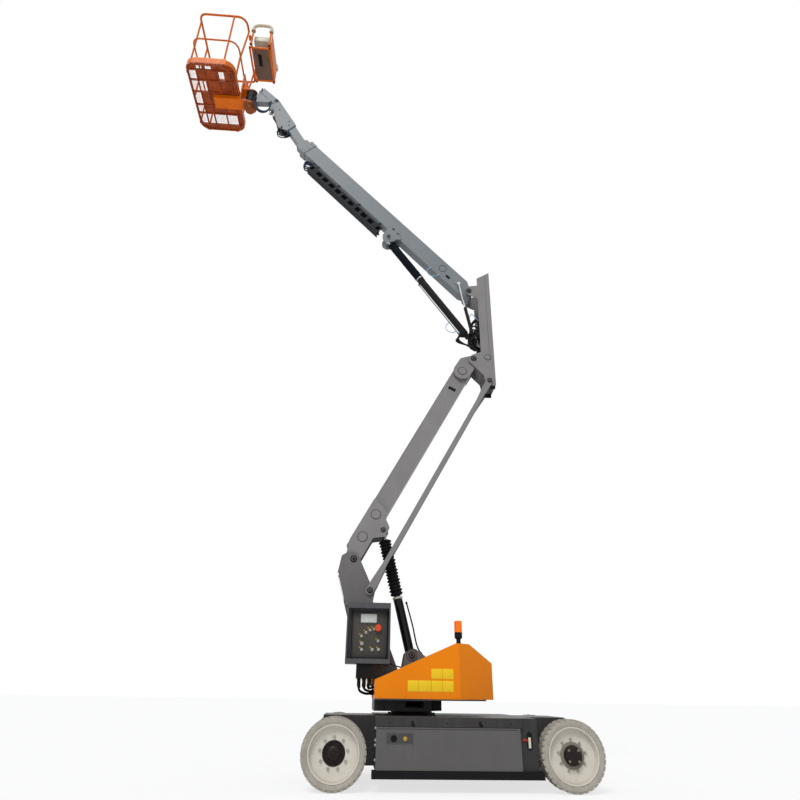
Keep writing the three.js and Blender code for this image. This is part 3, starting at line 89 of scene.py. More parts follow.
def spot(x: float, y: float, z: float) -> Vector:
    """A point of the machine, from millimetres about the wheelbase's middle.

    Args:
        x: millimetres towards the tail.
        y: millimetres towards the right side.
        z: millimetres above the ground.

    Returns:
        The point in metres in the frame's axes.
    """
    return Vector((x / 1000 + AXLE_MIDDLE, y / 1000, z / 1000))


# ------------------------------------------------------------------------------------------------ finishes
def linear(colour: str) -> tuple[float, float, float, float]:
    """An sRGB hex colour as linear light.

    Args:
        colour: such as "#ee8a10".

    Returns:
        Four floats for a colour socket.
    """
    # the sRGB curve: a straight foot, then a power
    values = [int(colour[i : i + 2], 16) / 255 for i in (1, 3, 5)]
    r, g, b = (v / 12.92 if v <= 0.04045 else ((v + 0.055) / 1.055) ** 2.4 for v in values)
    return r, g, b, 1.0


def node(
    tree: bpy.types.NodeTree, kind: str, settings: dict | None = None, **inputs: object
) -> bpy.types.Node:
    """Adds a node with its settings and links.

    Args:
        tree: the tree it goes in.
        kind: the node's type, such as "ShaderNodeTexNoise".
        settings: properties of the node itself.
        **inputs: socket values or the output sockets linked to them. A key is the socket's name with _ for
            a space, or i and its index, such as i6.

    Returns:
        The new node.
    """
    made = tree.nodes.new(kind)
    for key, value in (settings or {}).items():
        setattr(made, key, value)
    for key, value in inputs.items():
        by_index = key[0] == "i" and key[1:].isdigit()
        socket = made.inputs[int(key[1:]) if by_index else key.replace("_", " ")]
        if isinstance(value, bpy.types.NodeSocket):
            tree.links.new(value, socket)
        else:
            socket.default_value = value
    return made


@dataclass(frozen=True)
class Finish:
    """What a surface is made of.

    Attributes:
        name: the material's name.
        colour: its main colour.
        second: what the colour drifts towards in patches.
        drift: how far it drifts, from 0 to 1.
        patch_mm: the patches' size.
        dust: the colour that lies on faces that look up, and in the streaks.
        dusty: how much dust there is.
        roughness: the mean roughness.
        metallic: 1 for bare metal.
        grain_mm: the size of the surface's own relief.
        relief_mm: the depth of that relief.
        coat: a clear top layer, as on enamel.
        glow: strength of a lit surface.
        shine: how strongly it mirrors at right angles.
        under: the colour below the height under_z, where a part has two paints.
        under_z: that height in metres.
    """

    name: str
    colour: str
    second: str
    drift: float = 0.5
    patch_mm: float = 260.0
    dust: str = "#a09a8e"
    dusty: float = 0.12
    roughness: float = 0.42
    metallic: float = 0.0
    grain_mm: float = 14.0
    relief_mm: float = 0.25
    coat: float = 0.0
    glow: float = 0.0
    shine: float = 0.22
    under: str = ""
    under_z: float = 0.0

    def material(self) -> bpy.types.Material:
        """The finish as a material, made the first time it is asked for."""
        made = bpy.data.materials.get(self.name)
        if made:
            return made
        made = bpy.data.materials.new(self.name)
        made.use_nodes = True
        tree = made.node_tree
        tree.nodes.clear()
        place = node(tree, "ShaderNodeTexCoord").outputs["Object"]
        patches = node(
            tree, "ShaderNodeTexNoise", Vector=place, Scale=1000 / self.patch_mm, Detail=4.0, Roughness=0.6
        ).outputs["Fac"]
        patch_share = node(
            tree, "ShaderNodeMapRange", Value=patches, From_Min=0.35, From_Max=0.68, To_Min=0.0,
            To_Max=self.drift,
        ).outputs["Result"]
        tint = node(
            tree, "ShaderNodeMix", {"data_type": "RGBA"}, i0=patch_share, i6=linear(self.colour),
            i7=linear(self.second),
        ).outputs[2]
        if self.under:
            height = node(tree, "ShaderNodeSeparateXYZ", Vector=place).outputs["Z"]
            below = node(
                tree, "ShaderNodeMath", {"operation": "LESS_THAN"}, i0=height, i1=self.under_z
            ).outputs[0]
            tint = node(
                tree, "ShaderNodeMix", {"data_type": "RGBA"}, i0=below, i6=tint, i7=linear(self.under)
            ).outputs[2]
        long = node(tree, "ShaderNodeMapping", Vector=place, Scale=(7.0, 7.0, 0.9)).outputs["Vector"]
        streaks = node(
            tree, "ShaderNodeTexNoise", Vector=long, Scale=2.4, Detail=5.0, Roughness=0.7
        ).outputs["Fac"]
        streak_share = node(
            tree, "ShaderNodeMapRange", Value=streaks, From_Min=0.5, From_Max=0.8, To_Min=0.0,
            To_Max=self.dusty,
        ).outputs["Result"]
        facing = node(tree, "ShaderNodeNewGeometry").outputs["Normal"]
        up = node(tree, "ShaderNodeSeparateXYZ", Vector=facing).outputs["Z"]
        lying = node(
            tree, "ShaderNodeMapRange", Value=up, From_Min=0.55, From_Max=1.0, To_Min=0.0,
            To_Max=2.5 * self.dusty,
        ).outputs["Result"]
        total = node(
            tree, "ShaderNodeMath", {"operation": "ADD", "use_clamp": True}, i0=streak_share, i1=lying
        ).outputs[0]
        shade = node(
            tree, "ShaderNodeMix", {"data_type": "RGBA"}, i0=total, i6=tint, i7=linear(self.dust)
        ).outputs[2]
        grain = node(
            tree, "ShaderNodeTexNoise", Vector=place, Scale=1000 / self.grain_mm, Detail=3.0
        ).outputs["Fac"]
        rough = node(
            tree, "ShaderNodeMapRange", Value=grain, To_Min=max(self.roughness - 0.07, 0.03),
            To_Max=min(self.roughness + 0.09, 1.0),
        ).outputs["Result"]
        bump = node(
            tree, "ShaderNodeBump", Strength=0.5, Distance=self.relief_mm / 1000, Height=grain
        ).outputs["Normal"]
        shader = node(
            tree, "ShaderNodeBsdfPrincipled", Base_Color=shade, Roughness=rough, Metallic=self.metallic,
            Normal=bump, Coat_Weight=self.coat, Specular_IOR_Level=self.shine if not self.metallic else 0.5,
        )
        if self.glow:
            shader.inputs["Emission Color"].default_value = linear(self.colour)
            shader.inputs["Emission Strength"].default_value = self.glow
        node(tree, "ShaderNodeOutputMaterial", Surface=shader.outputs["BSDF"])
        return made


# Two-pack polyurethane on plate: satin, with chalky patches and an orange peel drawn coarse enough to show.
BOOM_GREY = Finish("boom_grey_polyurethane", "#7f7c7b", "#716f70", 0.55, 340, "#a8a39b", 0.08, 0.42)
# The same paint on the booms that stand in open sky, given a cooler colour as painted light from the blue
# sky.
BOOM_GREY_SKY_TINT = Finish("boom_cool_grey_polyurethane", "#757a7d", "#6a6f72", 0.55, 380, "#a0a29f", 0.07, 0.42)
# The turret's paint, a darker grey than the booms', with the black slewing base under its deck.
TURRET_GREY = Finish(
    "turret_grey_polyurethane", "#676463", "#5b5858", 0.6, 280, "#97928a", 0.08, 0.45, under="#0d0d0e",
    under_z=0.684,
)
# The same paint on the chassis, darker, with road dust.
CHASSIS_GREY = Finish("chassis_charcoal_polyurethane", "#343231", "#2c2b2b", 0.6, 300, "#77736d", 0.10, 0.45)
DOOR_GREY = Finish("door_grey_polyurethane", "#595756", "#504e4d", 0.5, 420, "#847f78", 0.06, 0.42)
# Painted shade: the latch pocket's recess drawn as a darker grey than the door; the control panel frame's lip
# uses the same grey.
POCKET_SHADE_AND_LIP_GREY = Finish("pocket_grey_polyurethane", "#454342", "#3b3a39", 0.5, 60, "#6a665f", 0.08, 0.5)
EDGE_GREY = Finish("rubbed_edge_paint", "#8a8783", "#6f6c69", 0.8, 70, "#aaa59c", 0.15, 0.45)
# Gel-coated glass-fibre covers: saturated, glossy, hardly dusty.
COVER_ORANGE = Finish(
    "cover_orange_gelcoat", "#e47e00", "#dd7700", 0.5, 500, "#d0a060", 0.02, 0.3, coat=0.06, shine=0.12
)
# Powder coat on the platform's tube and plate, with darker heat-faded runs.
PLATFORM_ORANGE = Finish(
    "platform_orange_powder", "#d8690a", "#b84f0a", 0.6, 150, "#d29058", 0.04, 0.42, shine=0.14
)
TOE_ORANGE = Finish(
    "toe_board_orange_powder", "#f08c2c", "#e67a18", 0.5, 120, "#e8b078", 0.05, 0.4, shine=0.14
)
ROTATOR_BROWN = Finish("rotator_brown_orange_paint", "#8a4417", "#6a3412", 0.6, 80, "#9a7050", 0.08, 0.5)
# Painted shade: the shaded edge of a weld round a tube's end, drawn as a dark line on the grey plate. The
# same dark grey paints the raised bracket discs and the turret column's folds as shade, and draws the
# upright's seams.
WELD_SHADE = Finish("weld_edge_dark_grey", "#3b3938", "#2f2e2d", 0.6, 40, "#5b5855", 0.1, 0.6)
PIN_GREY = Finish("pin_cap_worn_grey", "#67625d", "#544f4a", 0.7, 25, "#8a8379", 0.12, 0.45)
DECK_ORANGE = Finish("platform_deck_powder", "#a24512", "#702c10", 0.8, 130, "#8a5230", 0.12, 0.5)
# Painted shade: the orange console's shaded underside drawn as a dark brown.
CONSOLE_UNDERSIDE_SHADE = Finish("console_underside_primer", "#6a5244", "#54402f", 0.6, 90, "#83705f", 0.08, 0.5)
# Enamelled steel wheels.
WHEEL_CREAM = Finish("wheel_cream_enamel", "#cbc5b9", "#bdb6a9", 0.5, 160, "#9c917e", 0.14, 0.42)
# Solid non-marking rubber: matt, pale, with scuffs.
TYRE_RUBBER = Finish(
    "tyre_pale_rubber", "#a49e93", "#8f897e", 0.7, 60, "#7d7566", 0.2, 0.8, grain_mm=6, relief_mm=0.5
)
# Cast iron and gearbox housings with oily black paint.
BLACK_IRON = Finish(
    "oily_black_iron", "#100e0f", "#191311", 0.6, 70, "#3d3732", 0.06, 0.5, grain_mm=5, relief_mm=0.5,
    shine=0.12,
)
HUB_IRON = Finish(
    "hub_red_black_iron", "#160b0b", "#231412", 0.6, 40, "#3d3029", 0.05, 0.4, grain_mm=5, relief_mm=0.5
)
FLANGE_IRON = Finish("flange_grey_iron", "#7d766b", "#665e52", 0.7, 30, "#8a8070", 0.1, 0.55)
# Cylinder enamel: deep gloss black.
BLACK_ENAMEL = Finish(
    "cylinder_black_enamel", "#0b0b0e", "#08080b", 0.4, 200, "#2c2c2e", 0.03, 0.24, coat=0.2, shine=0.12
)
BLACK_PAINT = Finish("frame_black_paint", "#121214", "#0d0c0e", 0.5, 150, "#403d3a", 0.05, 0.5, shine=0.12)
TRAY_GREY = Finish("tray_dark_grey_paint", "#26292c", "#1d2023", 0.6, 120, "#4b4d4d", 0.06, 0.6, shine=0.1)
# Painted shade: near-black for hollows and gaps where shade falls: behind the cable tray's hoses, in the
# support tube's open end and under the turret.
SHADOW_BLACK = Finish("unlit_black_primer", "#060607", "#09090a", 0.4, 90, "#141414", 0.03, 0.9, shine=0.05)
# Hard chromed rod: a near mirror with fine lines along it.
CHROME = Finish(
    "hard_chromed_rod", "#d9dadc", "#cfd0d3", 0.3, 90, "#b8b8b8", 0.0, 0.13, 1.0, grain_mm=3, relief_mm=0.02
)
ZINC = Finish(
    "zinc_plated_steel", "#b0aea6", "#9c9886", 0.5, 25, "#8a8478", 0.1, 0.34, 1.0, grain_mm=4, relief_mm=0.1
)
BRASS = Finish(
    "brass_fitting", "#b8923f", "#9c7a30", 0.5, 20, "#7c6a40", 0.1, 0.32, 1.0, grain_mm=4, relief_mm=0.1
)
# Extruded hose and moulded rubber; the hoses' black also draws the painted shade inside slots and openings.
BLACK_RUBBER_AND_HOLE_SHADE = Finish(
    "hose_black_rubber", "#0d0e11", "#141519", 0.5, 40, "#303030", 0.05, 0.55, grain_mm=4, shine=0.12
)
HOSE_BLUE = Finish(
    "hose_dark_blue_polymer", "#0c1a36", "#122644", 0.5, 40, "#3c4654", 0.04, 0.45, grain_mm=4, shine=0.14
)
CONDUIT_PALE = Finish(
    "conduit_pale_blue_nylon", "#8fb2cd", "#7fa3be", 0.4, 30, "#cfd6da", 0.05, 0.4, grain_mm=4
)
WIRE_RED = Finish("wire_red_insulation", "#a8241c", "#8c1d18", 0.4, 20, "#a05048", 0.05, 0.4, grain_mm=3)
BELLOWS_RUBBER = Finish(
    "bellows_black_rubber", "#0b0b0e", "#141418", 0.5, 50, "#2a2a30", 0.05, 0.6, grain_mm=5, shine=0.1
)
# Woven sleeve over the main cylinder's rod: matt, a touch blue.
SLEEVE_FABRIC = Finish(
    "sleeve_black_fabric", "#0c1119", "#151b24", 0.6, 60, "#252b33", 0.06, 0.85, grain_mm=5, relief_mm=0.8,
    shine=0.08,
)
# Powder-coated control cabinet and its panel.
CABINET_GREY = Finish("cabinet_grey_powder", "#4c4c4f", "#404043", 0.5, 150, "#77746e", 0.06, 0.5, grain_mm=5)
PANEL_DARK = Finish("panel_dark_polycarbonate", "#47433d", "#3b3834", 0.5, 90, "#6a655c", 0.05, 0.4)
DISPLAY_PALE = Finish("display_pale_film", "#c4c7c1", "#b0b3ae", 0.5, 40, "#c8c8c0", 0.04, 0.2, coat=0.3)
STOP_RED = Finish("stop_button_red_plastic", "#d0451c", "#b93614", 0.4, 20, "#d07a60", 0.03, 0.28, coat=0.2)
PLATE_YELLOW = Finish(
    "blank_plate_yellow_vinyl", "#e6c022", "#dcb41c", 0.4, 60, "#dac878", 0.04, 0.36, shine=0.15
)
# Clear amber polycarbonate over a lamp.
AMBER_LENS = Finish(
    "beacon_amber_polycarbonate", "#f0760a", "#e26206", 0.6, 30, "#e8963c", 0.03, 0.16, coat=0.25, glow=0.12
)
# Closed-cell foam sleeves: matt, soiled where hands rest, over orange tube.
FOAM_CREAM = Finish(
    "guard_cream_foam", "#d6cdb8", "#b6a688", 0.8, 55, "#94846a", 0.2, 0.85, grain_mm=7, relief_mm=0.9
)
IVORY_BOX = Finish("control_box_ivory_plastic", "#cfccb8", "#bdb9a4", 0.5, 70, "#a8a490", 0.07, 0.42)
BALLAST_IRON = Finish(
    "ballast_painted_iron", "#2b2a2b", "#212021", 0.6, 90, "#5a564f", 0.15, 0.6, grain_mm=8, relief_mm=0.8
)


# ------------------------------------------------------------------------------------------------ bench tools
def clear_selection() -> None:
    """Leaves edit mode and selects nothing."""
    if bpy.context.object and bpy.context.object.mode != "OBJECT":
        bpy.ops.object.mode_set(mode="OBJECT")
    bpy.ops.object.select_all(action="DESELECT")


def pick(obj: bpy.types.Object) -> bpy.types.Object:
    """Selects one object alone and makes it active."""
    clear_selection()
    obj.select_set(True)
    bpy.context.view_layer.objects.active = obj
    return obj


def settle(obj: bpy.types.Object) -> bpy.types.Object:
    """Puts an object's place and turn into its mesh."""
    pick(obj)
    bpy.ops.object.transform_apply(location=True, rotation=True, scale=True)
    return obj


def smooth(obj: bpy.types.Object, degrees: float = 32) -> bpy.types.Object:
    """Shades an object smooth, apart from its sharp edges."""
    pick(obj)
    bpy.ops.object.shade_smooth_by_angle(angle=math.radians(degrees))
    return obj


def towards(obj: bpy.types.Object, start: Vector, axis: Vector) -> bpy.types.Object:
    """Turns a piece made along +Z to lie along an axis, starting at a point."""
    turn = UP.rotation_difference(axis.normalized())
    obj.matrix_world = Matrix.Translation(start) @ turn.to_matrix().to_4x4()
    return settle(obj)


def block(name: str, low: Vector, high: Vector, edge: float = 0.002) -> bpy.types.Object:
    """A block with eased edges.

    Args:
        name: the piece's name.
        low: its lowest corner.
        high: its highest corner.
        edge: the size of the eased edges.

    Returns:
        The finished mesh object.
    """
    clear_selection()
    bpy.ops.mesh.primitive_cube_add(size=1, location=(low + high) / 2, scale=high - low)
    made = settle(bpy.context.object)
    made.name = name
    bpy.ops.object.mode_set(mode="EDIT")
    bpy.ops.mesh.select_all(action="SELECT")
    bpy.ops.mesh.bevel(offset=edge, segments=2, affect="EDGES")
    clear_selection()
    return smooth(made)


def turned(
    name: str, start: Vector, axis: Vector, profile: Sequence[tuple[float, float]], sides: int = 32,
    ring: bool = False,
) -> bpy.types.Object:
    """A turned piece, drawn out ring by ring as on a lathe.

    Args:
        name: the piece's name.
        start: where its axis starts.
        axis: the way it points.
        profile: (radius, distance along the axis) pairs.
        sides: how many sides it has.
        ring: True where the profile closes on itself, as for a tyre.

    Returns:
        The finished mesh object.
    """
    clear_selection()
    radius, distance = profile[0]
    bpy.ops.mesh.primitive_circle_add(
        vertices=sides, radius=radius, location=(0, 0, distance), fill_type="NOTHING" if ring else "NGON"
    )
    made = settle(bpy.context.object)
    made.name = name
    bpy.ops.object.mode_set(mode="EDIT")
    bpy.ops.mesh.select_all(action="SELECT")
    for next_radius, next_distance in list(profile[1:]) + ([profile[0]] if ring else []):
        rise = {"value": (0, 0, next_distance - distance)}
        if ring:
            bpy.ops.mesh.extrude_edges_move(TRANSFORM_OT_translate=rise)
        else:
            bpy.ops.mesh.extrude_region_move(TRANSFORM_OT_translate=rise)
        grow = next_radius / radius
        bpy.ops.transform.resize(value=(grow, grow, 1), center_override=(0, 0, next_distance))
        radius, distance = next_radius, next_distance
    bpy.ops.mesh.select_all(action="SELECT")
    bpy.ops.mesh.remove_doubles(threshold=1e-6)
    bpy.ops.mesh.normals_make_consistent(inside=False)
    clear_selection()
    return smooth(towards(made, start, axis))


def plate(
    name: str, corners: Sequence[Vector], through: Vector, round_mm: float = 0.0, edge: float = 0.0012
) -> bpy.types.Object:
    """A flat plate cut to an outline.

    Args:
        name: the piece's name.
        corners: its outline, in order.
        through: the way and distance of its thickness.
        round_mm: the radius of its corners.
        edge: the size of its eased edges.

    Returns:
        The finished mesh object.
    """
    clear_selection()
    bpy.ops.mesh.primitive_circle_add(vertices=len(corners), radius=1, fill_type="NGON")
    made = bpy.context.object
    made.name = name
    for vertex, corner in zip(made.data.vertices, corners):
        vertex.co = corner
    bpy.ops.object.mode_set(mode="EDIT")
    bpy.ops.mesh.select_all(action="SELECT")
    if round_mm:
        bpy.ops.mesh.bevel(offset=round_mm / 1000, segments=4, affect="VERTICES")
        bpy.ops.mesh.select_all(action="SELECT")
    bpy.ops.mesh.extrude_region_move(TRANSFORM_OT_translate={"value": through})
    bpy.ops.mesh.select_all(action="SELECT")
    bpy.ops.mesh.normals_make_consistent(inside=False)
    clear_selection()
    if edge:
        eased = made.modifiers.new("eased_edges", "BEVEL")
        eased.width, eased.segments, eased.limit_method = edge, 1, "ANGLE"
        pick(made)
        bpy.ops.object.modifier_apply(modifier=eased.name)
    return smooth(made)


def copied(obj: bpy.types.Object, name: str, moved: Matrix) -> bpy.types.Object:
    """A copy of a finished piece with its own mesh, moved."""
    made = obj.copy()
    made.data = obj.data.copy()
    made.name = name
    made.data.transform(moved)
    if moved.to_3x3().determinant() < 0:
        made.data.flip_normals()
    bpy.context.scene.collection.objects.link(made)
    return made


def joined(name: str, parts: Iterable[bpy.types.Object]) -> bpy.types.Object:
    """Several objects made into one."""
    found = list(parts)
    pick(found[0])
    for other in found[1:]:
        other.select_set(True)
    if len(found) > 1:
        bpy.ops.object.join()
    found[0].name = name
    return found[0]


def around(centre: Vector, axis: Vector, angle: float) -> Matrix:
    """A turn about an axis through a point, in degrees."""
    return (
        Matrix.Translation(centre)
        @ Matrix.Rotation(math.radians(angle), 4, axis)
        @ Matrix.Translation(-centre)
    )


def curve_points(points: Sequence[Vector], steps: int = 8) -> list[Vector]:
    """A smooth line through points.

    Args:
        points: what it passes through.
        steps: how many pieces each stretch has.

    Returns:
        The line's points.
    """
    ends = [points[0] * 2 - points[1], *points, points[-1] * 2 - points[-2]]
    line = []
    for i in range(1, len(ends) - 2):
        a, b, c, d = ends[i - 1 : i + 3]
        for k in range(steps):
            t = k / steps
            line.append(
                0.5 * (
                    2 * b + (c - a) * t + (2 * a - 5 * b + 4 * c - d) * t**2 + (3 * b - a - 3 * c + d) * t**3
                )
            )
    return [*line, points[-1].copy()]


def hose(name: str, points: Sequence[Vector], radius: float) -> bpy.types.Object:
    """A hose through points, with a crimped ferrule at each end.

    Args:
        name: the piece's name.
        points: what it passes through.
        radius: its radius.

    Returns:
        The finished mesh object.
    """
    line = curve_points(points)
    drawn = bpy.data.curves.new(name, "CURVE")
    drawn.dimensions = "3D"
    drawn.bevel_depth, drawn.bevel_resolution, drawn.use_fill_caps = radius, 2, True
    run = drawn.splines.new("POLY")
    run.points.add(len(line) - 1)
    for point, place in zip(run.points, line):
        point.co = (*place, 1)
    made = bpy.data.objects.new(name, drawn)
    bpy.context.scene.collection.objects.link(made)
    pick(made)
    bpy.ops.object.convert(target="MESH")
    made = smooth(bpy.context.object, 60)
    ferrules = [
        turned(
            f"{name}_ferrule", end, way,
            [(radius * 1.1, 0), (radius * 1.5, 0.002), (radius * 1.5, 0.03), (radius * 1.15, 0.034)], 12,
        )
        for end, way in ((line[0], line[1] - line[0]), (line[-1], line[-2] - line[-1]))
    ]
    return joined(name, [made, *ferrules])


def bolt(name: str, seat: Vector, axis: Vector, across: float = 0.012) -> bpy.types.Object:
    """A hexagon bolt's head on its washer.

    Args:
        name: the piece's name.
        seat: the centre of its washer's underside.
        axis: the way it stands.
        across: the head's radius.

    Returns:
        The finished mesh object.
    """
    washer = turned(f"{name}_washer", seat, axis, [(across * 1.35, 0), (across * 1.35, across * 0.2)], 16)
    head = turned(
        name, seat + axis.normalized() * across * 0.2, axis,
        [(across, 0), (across, across * 0.75), (across * 0.86, across * 0.95)], 6,
    )
    return joined(name, [washer, head])


def bolts(name: str, seats: Sequence[Vector], axis: Vector, across: float = 0.012) -> bpy.types.Object:
    """Like bolts in several seats, as one piece."""
    first = bolt(name, seats[0], axis, across)
    others = [
        copied(first, f"{name}_{i}", Matrix.Translation(seat - seats[0])) for i, seat in enumerate(seats[1:])
    ]
    return joined(name, [first, *others])


def dress(obj: bpy.types.Object, finish: Finish, body: str, *stands_for: str) -> bpy.types.Object:
    """Gives a finished piece its material and the body it moves with.

    Args:
        obj: the piece.
        finish: its finish.
        body: the body it rides on.
        *stands_for: the frame's nodes that it takes the place of.

    Returns:
        The same object.
    """
    obj.data.materials.clear()
    obj.data.materials.append(finish.material())
    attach(obj, body)
    if stands_for:
        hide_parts(*stands_for)
    return obj


def repaint(finish: Finish, *nodes: str) -> None:
    """Gives the frame's own nodes a finish."""
    for name in nodes:
        materials = frame["nodes"][name].data.materials
        materials.clear()
        materials.append(finish.material())


class Side(Enum):
    """The machine's two sides, as the sign of Y."""

    LEFT = -1
    RIGHT = 1

    @property
    def word(self) -> str:
        """The side's word in a name."""
        return self.name.lower()

    @property
    def out(self) -> Vector:
        """The way that looks out on this side."""
        return Vector((0, self.value, 0))

    def span(self, inner: float, outer: float) -> tuple[float, float]:
        """The two Ys, lower first, of a piece between two distances from the middle plane."""
        low, high = sorted((self.value * inner, self.value * outer))
        return low, high


class Drive(Enum):
    """How a wheel is turned."""

    FREE = "front"
    MOTOR = "rear"


def ringed_disc(name: str, centre: Vector, side: Side, radius: float) -> bpy.types.Object:
    """A raised, ringed disc on a side plate."""
    return turned(
        name, centre, side.out,
        [(radius, 0), (radius, 0.002), (radius * 0.86, 0.0035), (radius * 0.8, 0.001)], 28,
    )


@dataclass
class BoomLine:
    """A boom's own axes in the XZ plane, in millimetres from its pivot.

    Attributes:
        pivot: (x, z) of the pivot, from the wheelbase's middle.
        angle: degrees above the level.
        ahead: 1 where it leans to the tail, -1 to the platform.
    """

    pivot: tuple[float, float]
    angle: float
    ahead: int

    @property
    def way(self) -> Vector:
        """The unit vector along the boom."""
        turn = math.radians(self.angle)
        return Vector((self.ahead * math.cos(turn), 0, math.sin(turn)))

    @property
    def over(self) -> Vector:
        """The unit vector out of the boom's upper side."""
        turn = math.radians(self.angle)
        return Vector((-self.ahead * math.sin(turn), 0, math.cos(turn)))

    def at(self, along: float, above: float = 0.0, y: float = 0.0) -> Vector:
        """A point along and over the boom's pivot line, at y millimetres."""
        return spot(self.pivot[0], y, self.pivot[1]) + (self.way * along + self.over * above) / 1000


LOWER = BoomLine((-946, 2006), 61.26, 1)
MAIN = BoomLine((425, 5606), 47.355, -1)
LOWER_TOP = 2897.0  # the lower boom's far pivot along it
LINK_OFFSET = (183.0, -318.0)


# ------------------------------------------------------------------------------------------------ wheels
@dataclass
class Wheel:
    """One road wheel: a solid lugged tyre on an enamelled rim.

    Attributes:
        drive: free or with a motor.
        side: which side it is on.
        x: millimetres from the wheelbase's middle.
        radius: the tyre's radius.
        width: the tyre's width.
        track: millimetres from the middle plane to the wheel's.
        lugs: how many tread blocks each shoulder has.
        nuts: how many wheel nuts it has.
        axle_z: the axle's height.
    """

    drive: Drive
    side: Side
    x: float
    radius: float = 279.0
    width: float = 178.0
    track: float = 616.0
    lugs: int = 34
    nuts: int = 9
    axle_z: float = 279.5

    @property
    def key(self) -> str:
        """The start of the wheel's names."""
        return f"{self.drive.value}_{self.side.word}"

    @property
    def centre(self) -> Vector:
        """The wheel's middle."""
        return spot(self.x, self.side.value * self.track, self.axle_z)

    def ringed(
        self, name: str, profile: Sequence[tuple[float, float]], sides: int, ring: bool
    ) -> bpy.types.Object:
        """A piece turned about the axle from millimetres, with distances outwards."""
        metres = [(r / 1000, d / 1000) for r, d in profile]
        return turned(name, self.centre, self.side.out, metres, sides, ring)

    def build_tyre(self) -> None:
        """The tyre's carcass and its tread blocks."""
        half = self.width / 2
        carcass = self.ringed(
            f"{self.key}_tyre_carcass",
            [
                (222, half - 8), (240, half - 2), (258, half - 2), (268, half - 9), (272, half - 24),
                (272, -half + 24), (268, -half + 9), (258, -half + 2), (240, -half + 2), (222, -half + 8),
                (221, 0),
            ],
            72, True,
        )
        parts = [carcass]
        for shoulder in (1, -1):
            y0, y1 = sorted((shoulder * (half - 4), shoulder * 20))
            lug = block(
                "lug", self.centre + Vector((-0.0205, y0 / 1000, self.radius / 1000 - 0.016)),
                self.centre + Vector((0.0205, y1 / 1000, self.radius / 1000 - 0.0022)), 0.003,
            )
            pick(lug)
            bpy.ops.object.mode_set(mode="EDIT")
            bpy.ops.mesh.select_all(action="SELECT")
            bpy.ops.transform.rotate(
                value=math.radians(14 * shoulder), orient_axis="Z", center_override=self.centre
            )
            clear_selection()
            for i in range(self.lugs):
                turn = (i + (0.5 if shoulder > 0 else 0)) * 360 / self.lugs
                parts.append(copied(lug, "lug", around(self.centre, ACROSS, turn)))
            bpy.data.objects.remove(lug)
        tyre = joined(f"{self.key}_lugged_tyre", parts)
        dress(tyre, TYRE_RUBBER, f"{self.key}_wheel", f"{self.key}_tyre")

    def build_rim(self) -> None:
        """The dished rim with its nuts."""
        rim = self.ringed(
            f"{self.key}_rim",
            [
                (98, 26), (186, 26), (196, 30), (203, 44), (206, 76), (211, 84), (219, 85), (221, 80),
                (221, -82), (214, -84), (205, -20), (186, 12), (98, 16),
            ],
            64, True,
        )
        dress(rim, WHEEL_CREAM, f"{self.key}_wheel", f"{self.key}_wheel")
        seat = self.centre + self.side.out * 0.026 + Vector((0, 0, 0.12))
        first = bolt("nut", seat, self.side.out, 0.0105)
        stud = turned("stud", seat, self.side.out, [(0.005, 0), (0.005, 0.02)], 10)
        first = joined("nut", [first, stud])
        start = 20 if self.side is Side.RIGHT else 0
        parts = [
            copied(first, "nut", around(self.centre, ACROSS, i * 360 / self.nuts + start))
            for i in range(self.nuts)
        ]
        bpy.data.objects.remove(first)
        dress(joined(f"{self.key}_wheel_nuts", parts), ZINC, f"{self.key}_wheel")

    def build_hub(self) -> None:
        """The hub: a deep iron cap in front, a flanged planetary housing behind."""
        if self.drive is Drive.FREE:
            profile = [
                (97, 4), (97, 30), (92, 34), (86, 33), (84, 18), (58, 18), (55, 38), (46, 44), (20, 45),
                (16, 50), (8, 51),
            ]
        else:
            profile = [
                (97, 4), (97, 36), (94, 39), (80, 40), (77, 43), (76, 66), (71, 75), (60, 79.5), (30, 80),
                (12, 80),
            ]
        hub = self.ringed(f"{self.key}_hub", profile, 40, False)
        dress(hub, HUB_IRON, f"{self.key}_wheel")
        ring, height, count = (0.07, 0.0185, 6) if self.drive is Drive.FREE else (0.058, 0.0785, 4)
        first_turn = 0.78
        turns = [i * math.tau / count + first_turn for i in range(count)]
        face = self.centre + self.side.out * height
        seats = [face + Vector((math.cos(turn), 0, math.sin(turn))) * ring for turn in turns]
        caps = bolts(f"{self.key}_hub_screws", seats, self.side.out, 0.008)
        dress(caps, FLANGE_IRON if self.drive is Drive.MOTOR else HUB_IRON, f"{self.key}_wheel")
        if self.drive is Drive.MOTOR:
            flange = self.ringed(
                f"{self.key}_hub_flange", [(78, 26), (104, 26), (104, 36), (98, 40), (78, 41)], 40, True
            )
            dress(flange, FLANGE_IRON, f"{self.key}_wheel")

    def build(self) -> None:
        """Builds and dresses the whole wheel."""
        self.build_tyre()
        self.build_rim()
        self.build_hub()


